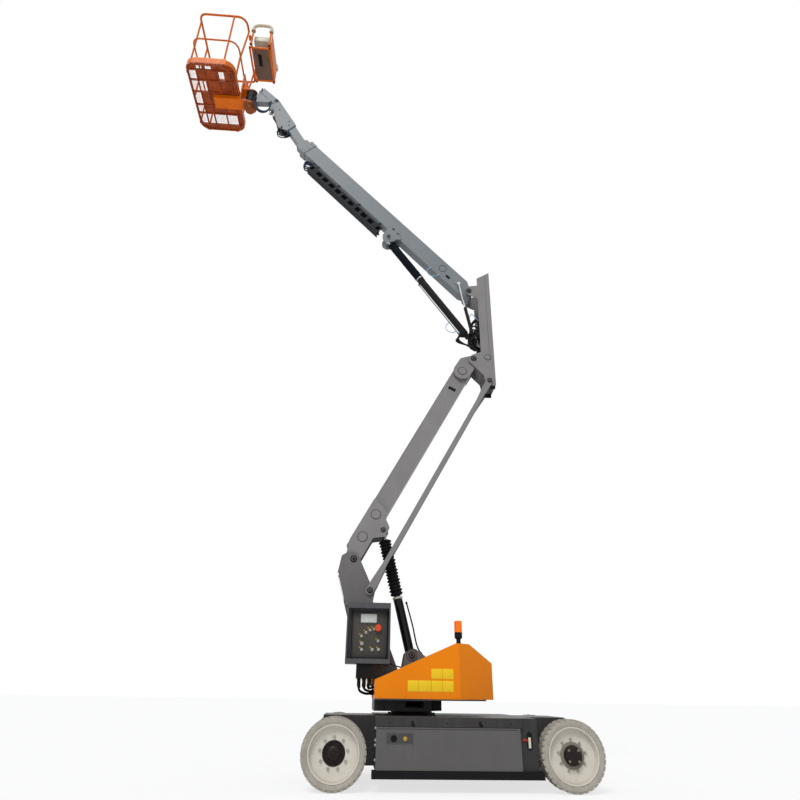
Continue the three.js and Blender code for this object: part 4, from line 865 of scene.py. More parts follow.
# ------------------------------------------------------------------------------------------------ chassis
@dataclass
class Chassis:
    """The carrier between the wheels.

    Attributes:
        sill_bolts: places of the bolts in the upper band.
        door_face: millimetres from the middle plane to a door's face.
    """

    sill_bolts: tuple[float, ...] = (-560, -359, -60, 235, 500)
    door_face: float = 682.0

    def build_door(self, side: Side) -> None:
        """A door's latch pocket in painted shade, folded edges with a painted shadow under the top fold,
        charge socket and latch.
        """
        face = side.value * self.door_face
        word = side.word
        body = f"{word}_door"
        repaint(DOOR_GREY, f"{word}_door")
        y0, y1 = side.span(self.door_face - 2, self.door_face + 0.4)
        # Painted shade: the latch pocket's recess is a darker grey patch that sits on the door's face.
        recess = block(f"{word}_latch_pocket", spot(-583, y0, 356), spot(-359, y1, 436), 0.001)
        dress(recess, POCKET_SHADE_AND_LIP_GREY, body)
        y0, y1 = side.span(self.door_face - 2, self.door_face + 3)
        bars = [
            block("pocket_edge", spot(x0, y0, z0), spot(x1, y1, z1), 0.0012)
            for x0, z0, x1, z1 in (
                (-589, 432, -353, 439), (-589, 352, -353, 358), (-589, 352, -583, 439),
                (-359, 352, -353, 439), (-674, 471, 579, 479),
            )
        ]
        dress(joined(f"{word}_door_folds", bars), DOOR_GREY, body)
        # Painted shadow: a thin black strip on the door's face under the top fold.
        shadow = block(f"{word}_door_fold_gap", spot(-670, y0, 464), spot(560, y1, 466), 0.0004)
        shadow.data.transform(Matrix.Translation(side.out * -0.0024))
        dress(shadow, BLACK_PAINT, body)
        socket = turned(
            f"{word}_charge_socket", spot(-524, face, 395), side.out,
            [(0.027, 0), (0.027, 0.003), (0.019, 0.0035), (0.017, 0.001)], 24,
        )
        dress(socket, BLACK_RUBBER_AND_HOLE_SHADE, body)
        latch = turned(
            f"{word}_latch", spot(-426, face, 393), side.out,
            [(0.017, 0), (0.017, 0.003), (0.011, 0.005), (0.004, 0.0055)], 20,
        )
        dress(latch, BRASS, body)

    def build_side(self, side: Side) -> None:
        """The fixed details of one side: bolts, door catches, and the slot with its plug and wire."""
        face = side.value * self.door_face
        word = side.word
        seats = [spot(x, face, 513) for x in self.sill_bolts]
        dress(bolts(f"{word}_sill_bolts", seats, side.out, 0.004), BLACK_IRON, "chassis")
        y0, y1 = side.span(self.door_face - 2, self.door_face + 4)
        hooks = []
        for x in (-359, 235):
            hooks.append(block("catch_plate", spot(x - 15, y0, 488), spot(x + 5, y1, 530), 0.002))
            hooks.append(block("catch_tongue", spot(x + 5, y0, 488), spot(x + 17, y1, 508), 0.002))
        dress(joined(f"{word}_door_catches", hooks), BLACK_IRON, "chassis")
        skin = side.value * 648.4
        # Painted shade: a flat black oval stands for the shade inside the cable slot.
        oval = plate(
            f"{word}_cable_slot",
            [spot(638, skin, 313), spot(688, skin, 313), spot(688, skin, 453), spot(638, skin, 453)],
            side.out * 0.001, 24, 0,
        )
        dress(oval, BLACK_RUBBER_AND_HOLE_SHADE, "chassis")
        y0, y1 = side.span(648, 652)
        plug = block(f"{word}_cable_plug", spot(652, y0, 330), spot(674, y1, 412), 0.0015)
        dress(plug, IVORY_BOX, "chassis")
        wire = hose(
            f"{word}_cable",
            [
                spot(604, side.value * 652, 388), spot(625, side.value * 656, 392),
                spot(650, side.value * 652, 385),
            ],
            0.006,
        )
        dress(wire, WIRE_RED, "chassis")
        side_bolts = [spot(-679, side.value * 649, z) for z in (235, 344, 381, 471)]
        dress(bolts(f"{word}_front_bolts", side_bolts, side.out, 0.008), ZINC, "chassis")

    def build_deck(self) -> None:
        """The top plate's edge strips and the slewing ring's flange with its bolts."""
        rims = []
        for side in Side:
            y0, y1 = side.span(640, 681)
            rims.append(block("deck_edge", spot(-672, y0, 556), spot(592, y1, 557.8), 0.0006))
        dress(joined("deck_edge_strips", rims), EDGE_GREY, "chassis")
        flange = turned(
            "slew_ring_flange", spot(SLEW_X, 0, 558.2), UP, [(0.235, 0), (0.235, 0.012), (0.205, 0.014)], 48
        )
        dress(flange, BLACK_IRON, "chassis")
        bolt_circle, bolt_count = 220, 20
        ring_seats = [
            spot(SLEW_X + bolt_circle * math.cos(a), bolt_circle * math.sin(a), 571)
            for a in (math.tau * i / bolt_count for i in range(bolt_count))
        ]
        dress(bolts("slew_ring_bolts", ring_seats, UP, 0.008), BLACK_IRON, "chassis")

    def build(self) -> None:
        """Builds and dresses the chassis."""
        repaint(CHASSIS_GREY, "chassis_frame")
        repaint(BLACK_PAINT, "left_side_rail", "right_side_rail", "slew_ring")
        repaint(BLACK_IRON, "steer_axle", "drive_axle", "left_knuckle", "right_knuckle", "tie_rod")
        repaint(BALLAST_IRON, "chassis_ballast")
        repaint(BLACK_RUBBER_AND_HOLE_SHADE, "left_battery_pack", "right_battery_pack")
        for side in Side:
            self.build_door(side)
            self.build_side(side)
        self.build_deck()


# ------------------------------------------------------------------------------------------------ turntable
@dataclass
class Turntable:
    """The slewing upper carriage with its column, covers, controls and beacon.

    Attributes:
        cover_face: millimetres from the middle plane to a cover's face.
        panel_y: the control panel's plane.
        knobs: each switch's x, z and radius in millimetres.
    """

    cover_face: float = 498.0
    panel_y: float = -322.0
    knobs: tuple[tuple[float, float, float], ...] = (
        (-832, 1233, 11), (-789, 1266, 11), (-751, 1289, 11), (-712, 1296, 9), (-826, 1166, 14),
        (-670, 1191, 10), (-826, 1113, 12), (-725, 1114, 12), (-663, 1116, 12),
    )

    def build_covers(self) -> None:
        """The covers' gloss, their blank plates and screws."""
        repaint(COVER_ORANGE, "left_cover", "right_cover")
        for side in Side:
            word, y = side.word, side.value * self.cover_face
            y0, y1 = side.span(self.cover_face, self.cover_face + 1.2)
            plates = [
                block("blank_plate", spot(x0, y0, z0), spot(x1, y1, z1), 0.0004)
                for x0, z0, x1, z1 in (
                    (-173, 864, -72, 950), (-68, 864, 32, 950), (-392, 758, -292, 850),
                    (-288, 758, -176, 850), (-172, 758, -72, 850), (-68, 758, 30, 850),
                )
            ]
            dress(joined(f"{word}_blank_plates", plates), PLATE_YELLOW, "turntable")
            screws = [spot(x, y, 716) for x in (-650, -420, -180, 60)]
            dress(bolts(f"{word}_cover_screws", screws, side.out, 0.005), COVER_ORANGE, "turntable")

    def build_controls(self) -> None:
        """The ground control station: panel, display, stop button, switches and frame."""
        repaint(CABINET_GREY, "ground_control_box")
        y = self.panel_y
        panel = block("ground_panel", spot(-919, y, 1050), spot(-590, y + 8, 1453), 0.004)
        dress(panel, PANEL_DARK, "turntable")
        bezel = block("ground_display_bezel", spot(-858, y - 6, 1345), spot(-676, y, 1445), 0.004)
        dress(bezel, CABINET_GREY, "turntable")
        glass = block("ground_display", spot(-843, y - 9, 1357), spot(-688, y - 4, 1436), 0.002)
        dress(glass, DISPLAY_PALE, "turntable")
        front = Side.LEFT.out
        collar = turned(
            "ground_stop_collar", spot(-672, y, 1307), front, [(0.03, 0), (0.03, 0.012), (0.022, 0.013)], 28
        )
        dress(collar, PLATE_YELLOW, "turntable")
        button = turned(
            "ground_stop_button", spot(-672, y - 12, 1307), front,
            [(0.015, 0), (0.015, 0.008), (0.032, 0.012), (0.034, 0.02), (0.03, 0.026), (0.015, 0.028)], 32,
        )
        dress(button, STOP_RED, "turntable")
        stems = []
        for i, (x, z, r) in enumerate(self.knobs):
            nut = turned(
                f"switch_nut_{i}", spot(x, y, z), front, [(r / 1000 * 1.3, 0), (r / 1000 * 1.3, 0.005)], 6
            )
            stem = turned(
                f"switch_{i}", spot(x, y - 5, z), Vector((0.1, -1, 0.25 if i % 2 else -0.25)),
                [(r / 2600, 0), (r / 2200, 0.012), (r / 1500, 0.02), (r / 1700, 0.024)], 14,
            )
            stems.extend((nut, stem))
        dress(joined("ground_switches", stems), ZINC, "turntable")
        frame_bars = [
            block("frame_bar", spot(x0, y - 10, z0), spot(x1, y - 1, z1), 0.002)
            for x0, z0, x1, z1 in (
                (-930, 1044, -918, 1460), (-592, 1044, -580, 1460), (-930, 1452, -580, 1462),
                (-930, 1040, -580, 1050),
            )
        ]
        dress(joined("ground_panel_frame", frame_bars), BLACK_PAINT, "turntable")
        marks = [
            block("knob_mark", spot(x - 24, y - 1.2, z + 14), spot(x - 12, y + 0.5, z + 24), 0.0003)
            for x, z, _ in self.knobs
        ]
        dress(joined("ground_knob_marks", marks), BRASS, "turntable")
        lip = [
            block("frame_lip", spot(x0, y - 11.5, z0), spot(x1, y - 9.5, z1), 0.0006)
            for x0, z0, x1, z1 in (
                (-922, 1044, -917, 1458), (-593, 1044, -588, 1458), (-922, 1453, -588, 1458),
                (-922, 1044, -588, 1049),
            )
        ]
        dress(joined("ground_panel_lip", lip), POCKET_SHADE_AND_LIP_GREY, "turntable")

    def build_fittings(self) -> None:
        """The valve block under the controls with its fittings and hoses."""
        repaint(BLACK_IRON, "valve_block")
        tops = []
        for i, x in enumerate((-845, -800, -755, -722)):
            tops.append(
                turned(
                    f"valve_fitting_{i}", spot(x, -330 + 6 * i, 864), Vector((0, 0, -1)),
                    [(0.014, 0), (0.014, 0.018), (0.010, 0.02), (0.010, 0.05)], 6,
                )
            )
        dress(joined("valve_fittings", tops), BRASS, "turntable")
        lines = [
            hose(
                "valve_hose_a",
                [spot(-840, -330, 815), spot(-830, -310, 760), spot(-770, -280, 735), spot(-700, -230, 740)],
                0.011,
            ),
            hose(
                "valve_hose_b",
                [spot(-798, -322, 815), spot(-780, -300, 770), spot(-730, -270, 755), spot(-690, -200, 760)],
                0.011,
            ),
            hose(
                "valve_hose_c",
                [spot(-752, -316, 815), spot(-745, -290, 780), spot(-700, -250, 790), spot(-680, -190, 800)],
                0.010,
            ),
        ]
        dress(joined("valve_hoses", lines), BLACK_RUBBER_AND_HOLE_SHADE, "turntable")
        blue = hose(
            "control_cable",
            [spot(-560, -250, 1010), spot(-520, -240, 985), spot(-450, -225, 970), spot(-380, -205, 955)],
            0.006,
        )
        dress(blue, HOSE_BLUE, "turntable")

    def build_column(self) -> None:
        """Pin caps and bosses, a fold on each side drawn as a strip of painted shade, and the slewing gear's
        guard, motor and a near-black core of painted shade.
        """
        repaint(TURRET_GREY, "turntable_frame")
        repaint(BALLAST_IRON, "counterweight")
        for side in Side:
            y = side.value * 141
            boss_foot = spot(LOWER.pivot[0], y - side.value * 2, LOWER.pivot[1])
            foot = spot(LIFT_FOOT_X, y, LIFT_FOOT_Z)
            keepers = [
                turned("pin_boss", boss_foot, side.out, [(0.062, 0), (0.062, 0.0016)], 32),
                turned("pin_cap", foot, side.out, [(0.04, 0), (0.04, 0.004), (0.04 / 1.15, 0.0052)], 28),
            ]
            dress(joined(f"{side.word}_column_pin_caps", keepers), TURRET_GREY, "turntable")
            PinCap(foot + side.out * 0.004, side, 0.034).build(
                f"{side.word}_foot_pin", BLACK_IRON, "turntable"
            )
            boss = turned(f"{side.word}_foot_boss_weld", foot, side.out, WELD_SECTION, 32, True)
            dress(boss, WELD_SHADE, "turntable")
            y0, y1 = side.span(139.4, 142.0)
            # Painted shade: a dark strip along the column's fold.
            fold = block(f"{side.word}_column_fold", spot(-1006, y0, 1528), spot(-850, y1, 1541), 0.0004)
            dress(fold, WELD_SHADE, "turntable")
        skirt = turned(
            "slewing_gear_guard", spot(SLEW_X, 0, 594), UP,
            [(0.255, 0), (0.262, 0.004), (0.262, 0.04), (0.24, 0.046)], 48,
        )
        dress(skirt, BLACK_PAINT, "turntable")
        # Painted shade: a near-black drum fills the shaded gap under the turret.
        core = turned("slewing_core", spot(SLEW_X, 0, 600), UP, [(0.15, 0), (0.15, 0.094)], 40)
        dress(core, SHADOW_BLACK, "turntable")
        motor = joined(
            "slewing_motor",
            [
                block("motor_body", spot(-150, -330, 600), spot(-60, -230, 690), 0.006),
                turned(
                    "motor_can", spot(-150, -280, 645), Vector((-1, 0, 0)),
                    [(0.045, 0), (0.045, 0.09), (0.038, 0.1)], 24,
                ),
            ],
        )
        dress(motor, BLACK_IRON, "turntable")

    def build_beacon(self) -> None:
        """The beacon: socket and ribbed lens."""
        foot = spot(98, -440, 1172)
        up = UP
        socket = turned(
            "beacon_socket", foot, up,
            [
                (0.026, 0.001), (0.026, 0.006), (0.021, 0.009), (0.021, 0.04), (0.034, 0.05), (0.037, 0.056),
                (0.037, 0.098), (0.031, 0.102),
            ],
            32,
        )
        dress(socket, BLACK_PAINT, "turntable", "beacon")
        ribs = [(0.0385, 0.102), (0.0385, 0.106)]
        for i in range(9):
            height = 0.108 + i * 0.0105
            ribs += [
                (0.0365, height), (0.0385, height + 0.003), (0.0385, height + 0.007),
                (0.0365, height + 0.0095),
            ]
        ribs += [(0.034, 0.205), (0.02, 0.208)]
        lens = turned("beacon_lens", foot, up, ribs, 32)
        dress(lens, AMBER_LENS, "turntable")

    def build(self) -> None:
        """Builds and dresses the turntable."""
        self.build_covers()
        self.build_controls()
        self.build_fittings()
        self.build_column()
        self.build_beacon()


# ------------------------------------------------------------------------------------------------ booms
@dataclass
class PinCap:
    """A keeper plate with its bolt on the end of a pivot pin.

    Attributes:
        centre: the middle of the cap's underside.
        side: which side of the machine it is on.
        radius: the cap's radius in metres.
    """

    centre: Vector
    side: Side
    radius: float = 0.04

    def build(self, name: str, finish: Finish, body: str) -> None:
        """Builds the cap, its screw and its washer."""
        disc = turned(
            name, self.centre, self.side.out,
            [(self.radius, 0), (self.radius, 0.003), (self.radius * 0.9, 0.0045)], 28,
        )
        dress(disc, finish, body)
        top = self.centre + self.side.out * 0.0045
        screw = bolt(f"{name}_screw", top, self.side.out, self.radius * 0.3)
        dress(screw, BLACK_IRON, body)
        washer = turned(
            f"{name}_washer", top, self.side.out,
            [(self.radius * 0.62, 0), (self.radius * 0.62, 0.0016), (self.radius * 0.4, 0.002)], 24,
        )
        dress(washer, PIN_GREY, body)


@dataclass
class LowerAssembly:
    """The lower boom, its parallel links and its lift cylinder.

    Attributes:
        folds: how many folds the bellows has.
    """

    folds: int = 17

    def build_boom(self) -> None:
        """Pin caps, the cross tubes' welds, the slot near the head and the long seams."""
        repaint(BOOM_GREY, "lower_boom", "left_link", "right_link")
        for side in Side:
            for key, along in (("root", 0.0), ("head", LOWER_TOP)):
                PinCap(LOWER.at(along, 0, side.value * 145), side, 0.036).build(
                    f"{side.word}_lower_{key}_pin", BLACK_IRON, "lower_boom"
                )
            eye = PinCap(LOWER.at(*LOWER_EYE, side.value * 124), side, 0.026)
            eye.build(f"{side.word}_lower_lift_pin", BLACK_IRON, "lower_boom")
            rings = []
            for along, above in ((253, 43), (538, 43), (LOWER_TOP - 225, 44)):
                rings.append(
                    turned(
                        "weld_ring", LOWER.at(along, above, side.value * 117), side.out,
                        [(0.050, 0), (0.056, 0.0), (0.055, 0.005), (0.050, 0.0055)], 36, True,
                    )
                )
            dress(joined(f"{side.word}_cross_tube_welds", rings), WELD_SHADE, "lower_boom")
            # Painted shade: a flat black plate stands for the shade inside the slot.
            slot = plate(
                f"{side.word}_inspection_slot",
                [
                    LOWER.at(2398 + a, 46 + b, side.value * 75)
                    for a, b in ((-20, -52), (20, -52), (20, 46), (-20, 46))
                ],
                side.out * 0.0012, 6, 0,
            )
            dress(slot, BLACK_RUBBER_AND_HOLE_SHADE, "lower_boom")
            seam = block("lower_weld_seam", Vector((0, -0.002, -0.003)), Vector((1.96, 0.002, 0.003)), 0.0015)
            turn = LOWER.way.to_track_quat("X", "Z").to_matrix().to_4x4()
            seam.data.transform(Matrix.Translation(LOWER.at(600, 145, side.value * 75)) @ turn)
            seam.name = f"{side.word}_lower_seam"
            dress(seam, BOOM_GREY, "lower_boom")

    def build_links(self) -> None:
        """The links' pin caps."""
        for side in Side:
            for key, along in (("foot", 0.0), ("head", LOWER_TOP)):
                centre = LOWER.at(along, 0, side.value * 168) + Vector(
                    (LINK_OFFSET[0] / 1000, 0, LINK_OFFSET[1] / 1000)
                )
                PinCap(centre, side, 0.03).build(f"{side.word}_link_{key}_pin", BLACK_IRON, "links")

    def build_cylinder(self) -> None:
        """The barrel's gland ring and pipe, and the folded bellows round the rod."""
        repaint(BLACK_ENAMEL, "lower_cylinder_barrel")
        repaint(CHROME, "lower_cylinder_rod")
        foot, eye = spot(LIFT_FOOT_X, 0, LIFT_FOOT_Z), LOWER.at(*LOWER_EYE)
        way = (eye - foot).normalized()
        ring = turned(
            "lower_gland_ring", foot + way * 0.56, way,
            [(0.0485, 0), (0.054, 0.003), (0.054, 0.022), (0.0485, 0.025)], 32, True,
        )
        dress(ring, ZINC, "lower_cylinder")
        first, last = 0.6, (eye - foot).length - 0.095
        pitch = (last - first) / self.folds
        profile = [(0.052, 0)]
        for i in range(self.folds):
            z = i * pitch
            wide = 0.068 + 0.004 * math.sin(i * 2.1)
            profile += [
                (0.055, z + pitch * 0.08), (wide, z + pitch * 0.42), (wide, z + pitch * 0.58),
                (0.055, z + pitch * 0.94),
            ]
        profile += [(0.048, last - first), (0.046, last - first + 0.004)]
        folded = turned("lower_folded_bellows", foot + way * first, way, profile, 32)
        dress(folded, BELLOWS_RUBBER, "lower_cylinder", "lower_cylinder_bellows")
        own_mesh(folded)
        pipe = hose(
            "lower_feed_pipe",
            [
                foot + way * 0.5 + Vector((0.075, -0.03, 0.02)),
                foot + way * 0.53 + Vector((0.085, -0.035, -0.02)),
                foot + way * 0.3 + Vector((0.088, -0.04, 0)), foot + way * 0.1 + Vector((0.085, -0.045, 0)),
                foot + way * 0.02 + Vector((0.12, -0.05, -0.02)),
            ],
            0.008,
        )
        dress(pipe, BLACK_RUBBER_AND_HOLE_SHADE, "lower_cylinder")

    def build(self) -> None:
        """Builds and dresses the lower assembly."""
        self.build_boom()
        self.build_links()
        self.build_cylinder()


@dataclass
class MainAssembly:
    """The upright, the main boom, the sliding boom and their cylinders.

    Attributes:
        cable_runs: how many hoses lie in the cable tray.
    """

    cable_runs: int = 4

    def build_upright(self) -> None:
        """Rubber stops, the cross tube's ends, the seams and the hose bundle in the channel."""
        repaint(BOOM_GREY, "upright")
        stops = []
        for side in Side:
            y0, y1 = side.span(100, 139)
            stops.append(block("rubber_stop", spot(622, y0, 4132), spot(702, y1, 4176), 0.006))
            disc = turned(
                f"{side.word}_upright_tube_end", spot(629, side.value * 139.5, 4573), side.out,
                [(0.036, 0), (0.036, 0.002), (0.034, 0.003)], 32,
            )
            dress(disc, BOOM_GREY, "upright")
            # Painted shade: a black ring round the tube's end stands for the shade at its weld.
            ring = turned(
                f"{side.word}_upright_tube_weld", spot(629, side.value * 139, 4573), side.out,
                [(0.038, 0), (0.043, 0.0), (0.043, 0.003), (0.038, 0.0035)], 36, True,
            )
            dress(ring, BLACK_PAINT, "upright")
            y0, y1 = side.span(139.4, 140.8)
            seam = block(f"{side.word}_upright_seam", spot(652, y0, 4640), spot(655, y1, 5880), 0.0004)
            dress(seam, WELD_SHADE, "upright")
        dress(joined("upright_rubber_stops", stops), BLACK_RUBBER_AND_HOLE_SHADE, "upright")
        lines = [
            hose(
                f"upright_hose_{i}",
                [
                    spot(600 - 8 * i, -60 + 24 * i, 4700), spot(560 - 20 * i, -70 + 26 * i, 4820),
                    spot(590 - 10 * i, -80 + 28 * i, 4960), spot(640, -84 + 30 * i, 5150),
                    spot(655, -80 + 28 * i, 5400), spot(640, -70 + 24 * i, 5560),
                ],
                0.012,
            )
            for i in range(4)
        ]
        dress(joined("upright_hoses", lines), BLACK_RUBBER_AND_HOLE_SHADE, "upright")

    def build_boom(self) -> None:
        """The main boom's pin caps, bracket cheeks, slots, discs and bolts."""
        repaint(BOOM_GREY_SKY_TINT, "main_boom")
        repaint(TRAY_GREY, "cable_tray")
        for side in Side:
            PinCap(MAIN.at(0, 0, side.value * 145), side, 0.036).build(
                f"{side.word}_main_root_pin", BLACK_IRON, "main_boom"
            )
            PinCap(MAIN.at(*MAIN_EYE, side.value * 104), side, 0.022).build(
                f"{side.word}_main_lift_pin", BLACK_IRON, "main_boom"
            )
            ring = turned(
                f"{side.word}_main_tube_weld", MAIN.at(532, 32, side.value * 69), side.out, WELD_SECTION, 36,
                True,
            )
            dress(ring, WELD_SHADE, "main_boom")
            outline = [
                (72, -55), (7, -101), (-64, -78), (-108, 20), (-98, 150), (-44, 180), (100, 160), (132, 120),
                (96, -8),
            ]
            cheek = plate(
                f"{side.word}_lift_bracket_cheek",
                [MAIN.at(MAIN_EYE[0] + a, MAIN_EYE[1] + b, side.value * 70.2) for a, b in outline],
                side.out * 0.012, 26, 0.002,
            )
            dress(cheek, BOOM_GREY_SKY_TINT, "main_boom")
            # Painted shade: a flat black plate stands for the shade inside the slot.
            slot = plate(
                f"{side.word}_main_slot",
                [
                    MAIN.at(380 + a, -14 + b, side.value * 69.5)
                    for a, b in ((-38, -19), (38, -19), (38, 19), (-38, 19))
                ],
                side.out * 0.001, 14, 0,
            )
            dress(slot, BLACK_RUBBER_AND_HOLE_SHADE, "main_boom")
            # Painted shade: the raised discs are drawn whole in the dark weld grey.
            discs = [
                ringed_disc("bracket_disc", MAIN.at(a, b, side.value * 82.3), side, 0.021)
                for a, b in ((1375, -52), (1480, -44))
            ]
            dress(joined(f"{side.word}_bracket_discs", discs), WELD_SHADE, "main_boom")
            pads = [
                MAIN.at(3510 + 50 * i, above, side.value * 78) for i in range(2) for above in (-60, 20, 100)
            ]
            dress(bolts(f"{side.word}_wear_pad_bolts", pads, side.out, 0.007), BOOM_GREY_SKY_TINT, "main_boom")
            root = [MAIN.at(a, b, side.value * 70) for a, b in ((216, 22), (232, -24))]
            dress(bolts(f"{side.word}_main_root_bolts", root, side.out, 0.0045), BLACK_IRON, "main_boom")
        top = [MAIN.at(3520 + 50 * i, 149, y) for i in range(2) for y in (-40, 40)]
        dress(bolts("top_wear_pad_bolts", top, MAIN.over, 0.009), ZINC, "main_boom")

    def build_tray(self) -> None:
        """Hoses along the cable tray and their loops at its front end."""
        runs = [
            hose(
                f"tray_hose_{i}",
                [MAIN.at(s, -232 + 20 * (i % 2), -55 + 24 * i) for s in (1600, 2000, 2400, 2800, 3190)],
                0.010,
            )
            for i in range(self.cable_runs)
        ]
        # Painted shade: a black sheet behind the tray's hoses stands for the shade inside the tray.
        tray_shade_sheet = plate(
            "tray_backing",
            [MAIN.at(a, b, -60) for a, b in ((1598, -250), (3192, -250), (3192, -150), (1598, -150))],
            Vector((0, 0.002, 0)), 0, 0,
        )
        dress(joined("tray_hoses", runs), BLACK_RUBBER_AND_HOLE_SHADE, "main_boom")
        dress(tray_shade_sheet, SHADOW_BLACK, "main_boom")
        loops = []
        for i in range(3):
            y = -50 + 30 * i
            loops.append(
                hose(
                    f"tray_loop_{i}",
                    [
                        MAIN.at(3180, -215, y), MAIN.at(3260, -235 - 12 * i, y),
                        MAIN.at(3330 + 14 * i, -195, y), MAIN.at(3300, -140, y + 4),
                        MAIN.at(3200, -125, y + 6),
                    ],
                    0.010,
                )
            )
        dress(joined("tray_end_loops", loops), HOSE_BLUE, "main_boom")

    def build_cylinders(self) -> None:
        """The main cylinder's tube, gland ring, sleeve, port and lines, and all upper cylinders' paint."""
        repaint(BLACK_ENAMEL, "main_cylinder_barrel", "level_cylinder_barrel", "slave_cylinder_barrel")
        repaint(CHROME, "main_cylinder_rod", "level_cylinder_rod", "slave_cylinder_rod")
        foot, eye = spot(467, 0, 4869), MAIN.at(*MAIN_EYE)
        way = (eye - foot).normalized()
        down = way.cross(ACROSS).normalized()
        if down.z > 0:
            down = -down
        barrel = turned(
            "main_thick_barrel", foot + way * 0.09, way,
            [
                (0.036, 0), (0.037, 0.06), (0.047, 0.075), (0.047, 1.06), (0.051, 1.064), (0.051, 1.118),
                (0.027, 1.122),
            ],
            40,
        )
        eye_end = turned(
            "main_foot_boss", foot + Vector((0, -0.038, 0)), ACROSS,
            [(0.042, 0), (0.044, 0.003), (0.044, 0.073), (0.042, 0.076)], 32,
        )
        dress(
            joined("main_cylinder_tube", [barrel, eye_end]), BLACK_ENAMEL, "main_cylinder",
            "main_cylinder_barrel",
        )
        gland = turned(
            "main_gland_ring", foot + way * 1.205, way,
            [(0.053, 0), (0.055, 0.003), (0.055, 0.014), (0.053, 0.017)], 32,
        )
        dress(gland, ZINC, "main_cylinder")
        first, last = 1.224, (eye - foot).length - 0.09
        profile = [(0.05, 0.0)]
        folds, reach = 26, last - first
        for i in range(folds):
            profile += [(0.0555, (i + 0.35) / folds * reach), (0.053, (i + 0.95) / folds * reach)]
        profile += [(0.04, last - first + 0.004), (0.027, last - first + 0.005)]
        sleeve = turned("main_rod_sleeve", foot + way * first, way, profile, 32)
        dress(sleeve, SLEEVE_FABRIC, "main_cylinder")
        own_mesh(sleeve)
        line = hose(
            "main_feed_pipe",
            [
                foot + way * d + down * o
                for d, o in ((1.15, 0.05), (1.12, 0.066), (0.8, 0.07), (0.4, 0.07), (0.2, 0.072))
            ],
            0.006,
        )
        dress(line, BLACK_IRON, "main_cylinder")
        middle, half = foot + way * 0.16 + down * 0.03, Vector((0.03, 0.02, 0.03))
        port = block("main_port_block", middle - half, middle + half, 0.004)
        dress(port, BLACK_IRON, "main_cylinder")
        loop = hose(
            "cylinder_pale_loop",
            [
                foot + way * a + down * b
                for a, b in ((0.42, 0.06), (0.40, 0.14), (0.33, 0.17), (0.27, 0.13), (0.25, 0.07))
            ],
            0.005,
        )
        dress(loop, CONDUIT_PALE, "main_cylinder")
        upper = hose(
            "boom_pale_loop",
            [MAIN.at(s, n, -79) for s, n in ((640, -80), (650, -150), (600, -190), (520, -180), (480, -84))],
            0.005,
        )
        dress(upper, CONDUIT_PALE, "main_boom")
        bundle = [
            hose(
                f"cylinder_hose_{i}",
                [
                    foot + way * (0.2 - 0.03 * i) + down * 0.05 + Vector((0, -0.068, 0)),
                    foot + way * 0.1 + down * (0.16 + 0.02 * i) + Vector((0, -0.069, 0)),
                    spot(420 + 20 * i, -70, 4760), spot(540, -69, 4700 - 8 * i), spot(620, -68, 4730),
                ],
                0.011,
            )
            for i in range(3)
        ]
        dress(joined("cylinder_foot_hoses", bundle), BLACK_RUBBER_AND_HOLE_SHADE, "upright")
        self.build_manifold()

    def build_manifold(self) -> None:
        """The valve manifold between the upright's plates, its caps and the tangle of hoses over it."""
        blocks = [
            block("manifold", spot(520, -104, 4880), spot(590, -40, 5040), 0.006),
            block("manifold_top", spot(534, -100, 5040), spot(584, -50, 5120), 0.006),
        ]
        for i, (x, z) in enumerate(((540, 4920), (566, 4960), (545, 5000), (560, 5080))):
            blocks.append(
                turned(
                    f"manifold_cap_{i}", spot(x, -104, z), Side.LEFT.out,
                    [(0.014, 0), (0.014, 0.016), (0.009, 0.018), (0.009, 0.028)], 6,
                )
            )
        dress(joined("upright_manifold", blocks), BLACK_IRON, "upright")
        tangle = [
            hose(
                f"manifold_hose_{i}",
                [
                    spot(548, -110 + 5 * i, 5100 - 36 * i),
                    spot(500 + 34 * math.sin(2.3 * i), -120 + 8 * i, 5150 - 40 * i + 40 * math.sin(1.7 * i)),
                    spot(440 + 24 * math.sin(3.1 * i), -112 + 12 * i, 5070 - 30 * i + 50 * math.sin(2.9 * i)),
                    spot(430 + 40 * math.sin(1.9 * i), -96 + 12 * i, 4960 - 36 * i),
                    spot(505, -84 + 14 * i, 4850 - 22 * i),
                ],
                0.011,
            )
            for i in range(6)
        ]
        dress(joined("manifold_hoses", tangle), BLACK_RUBBER_AND_HOLE_SHADE, "upright")
        pale = hose(
            "manifold_pale_line",
            [
                spot(556, -112, 5100), spot(500, -124, 5180), spot(455, -118, 5240), spot(425, -104, 5200),
                spot(430, -90, 5120),
            ],
            0.006,
        )
        dress(pale, CONDUIT_PALE, "upright")

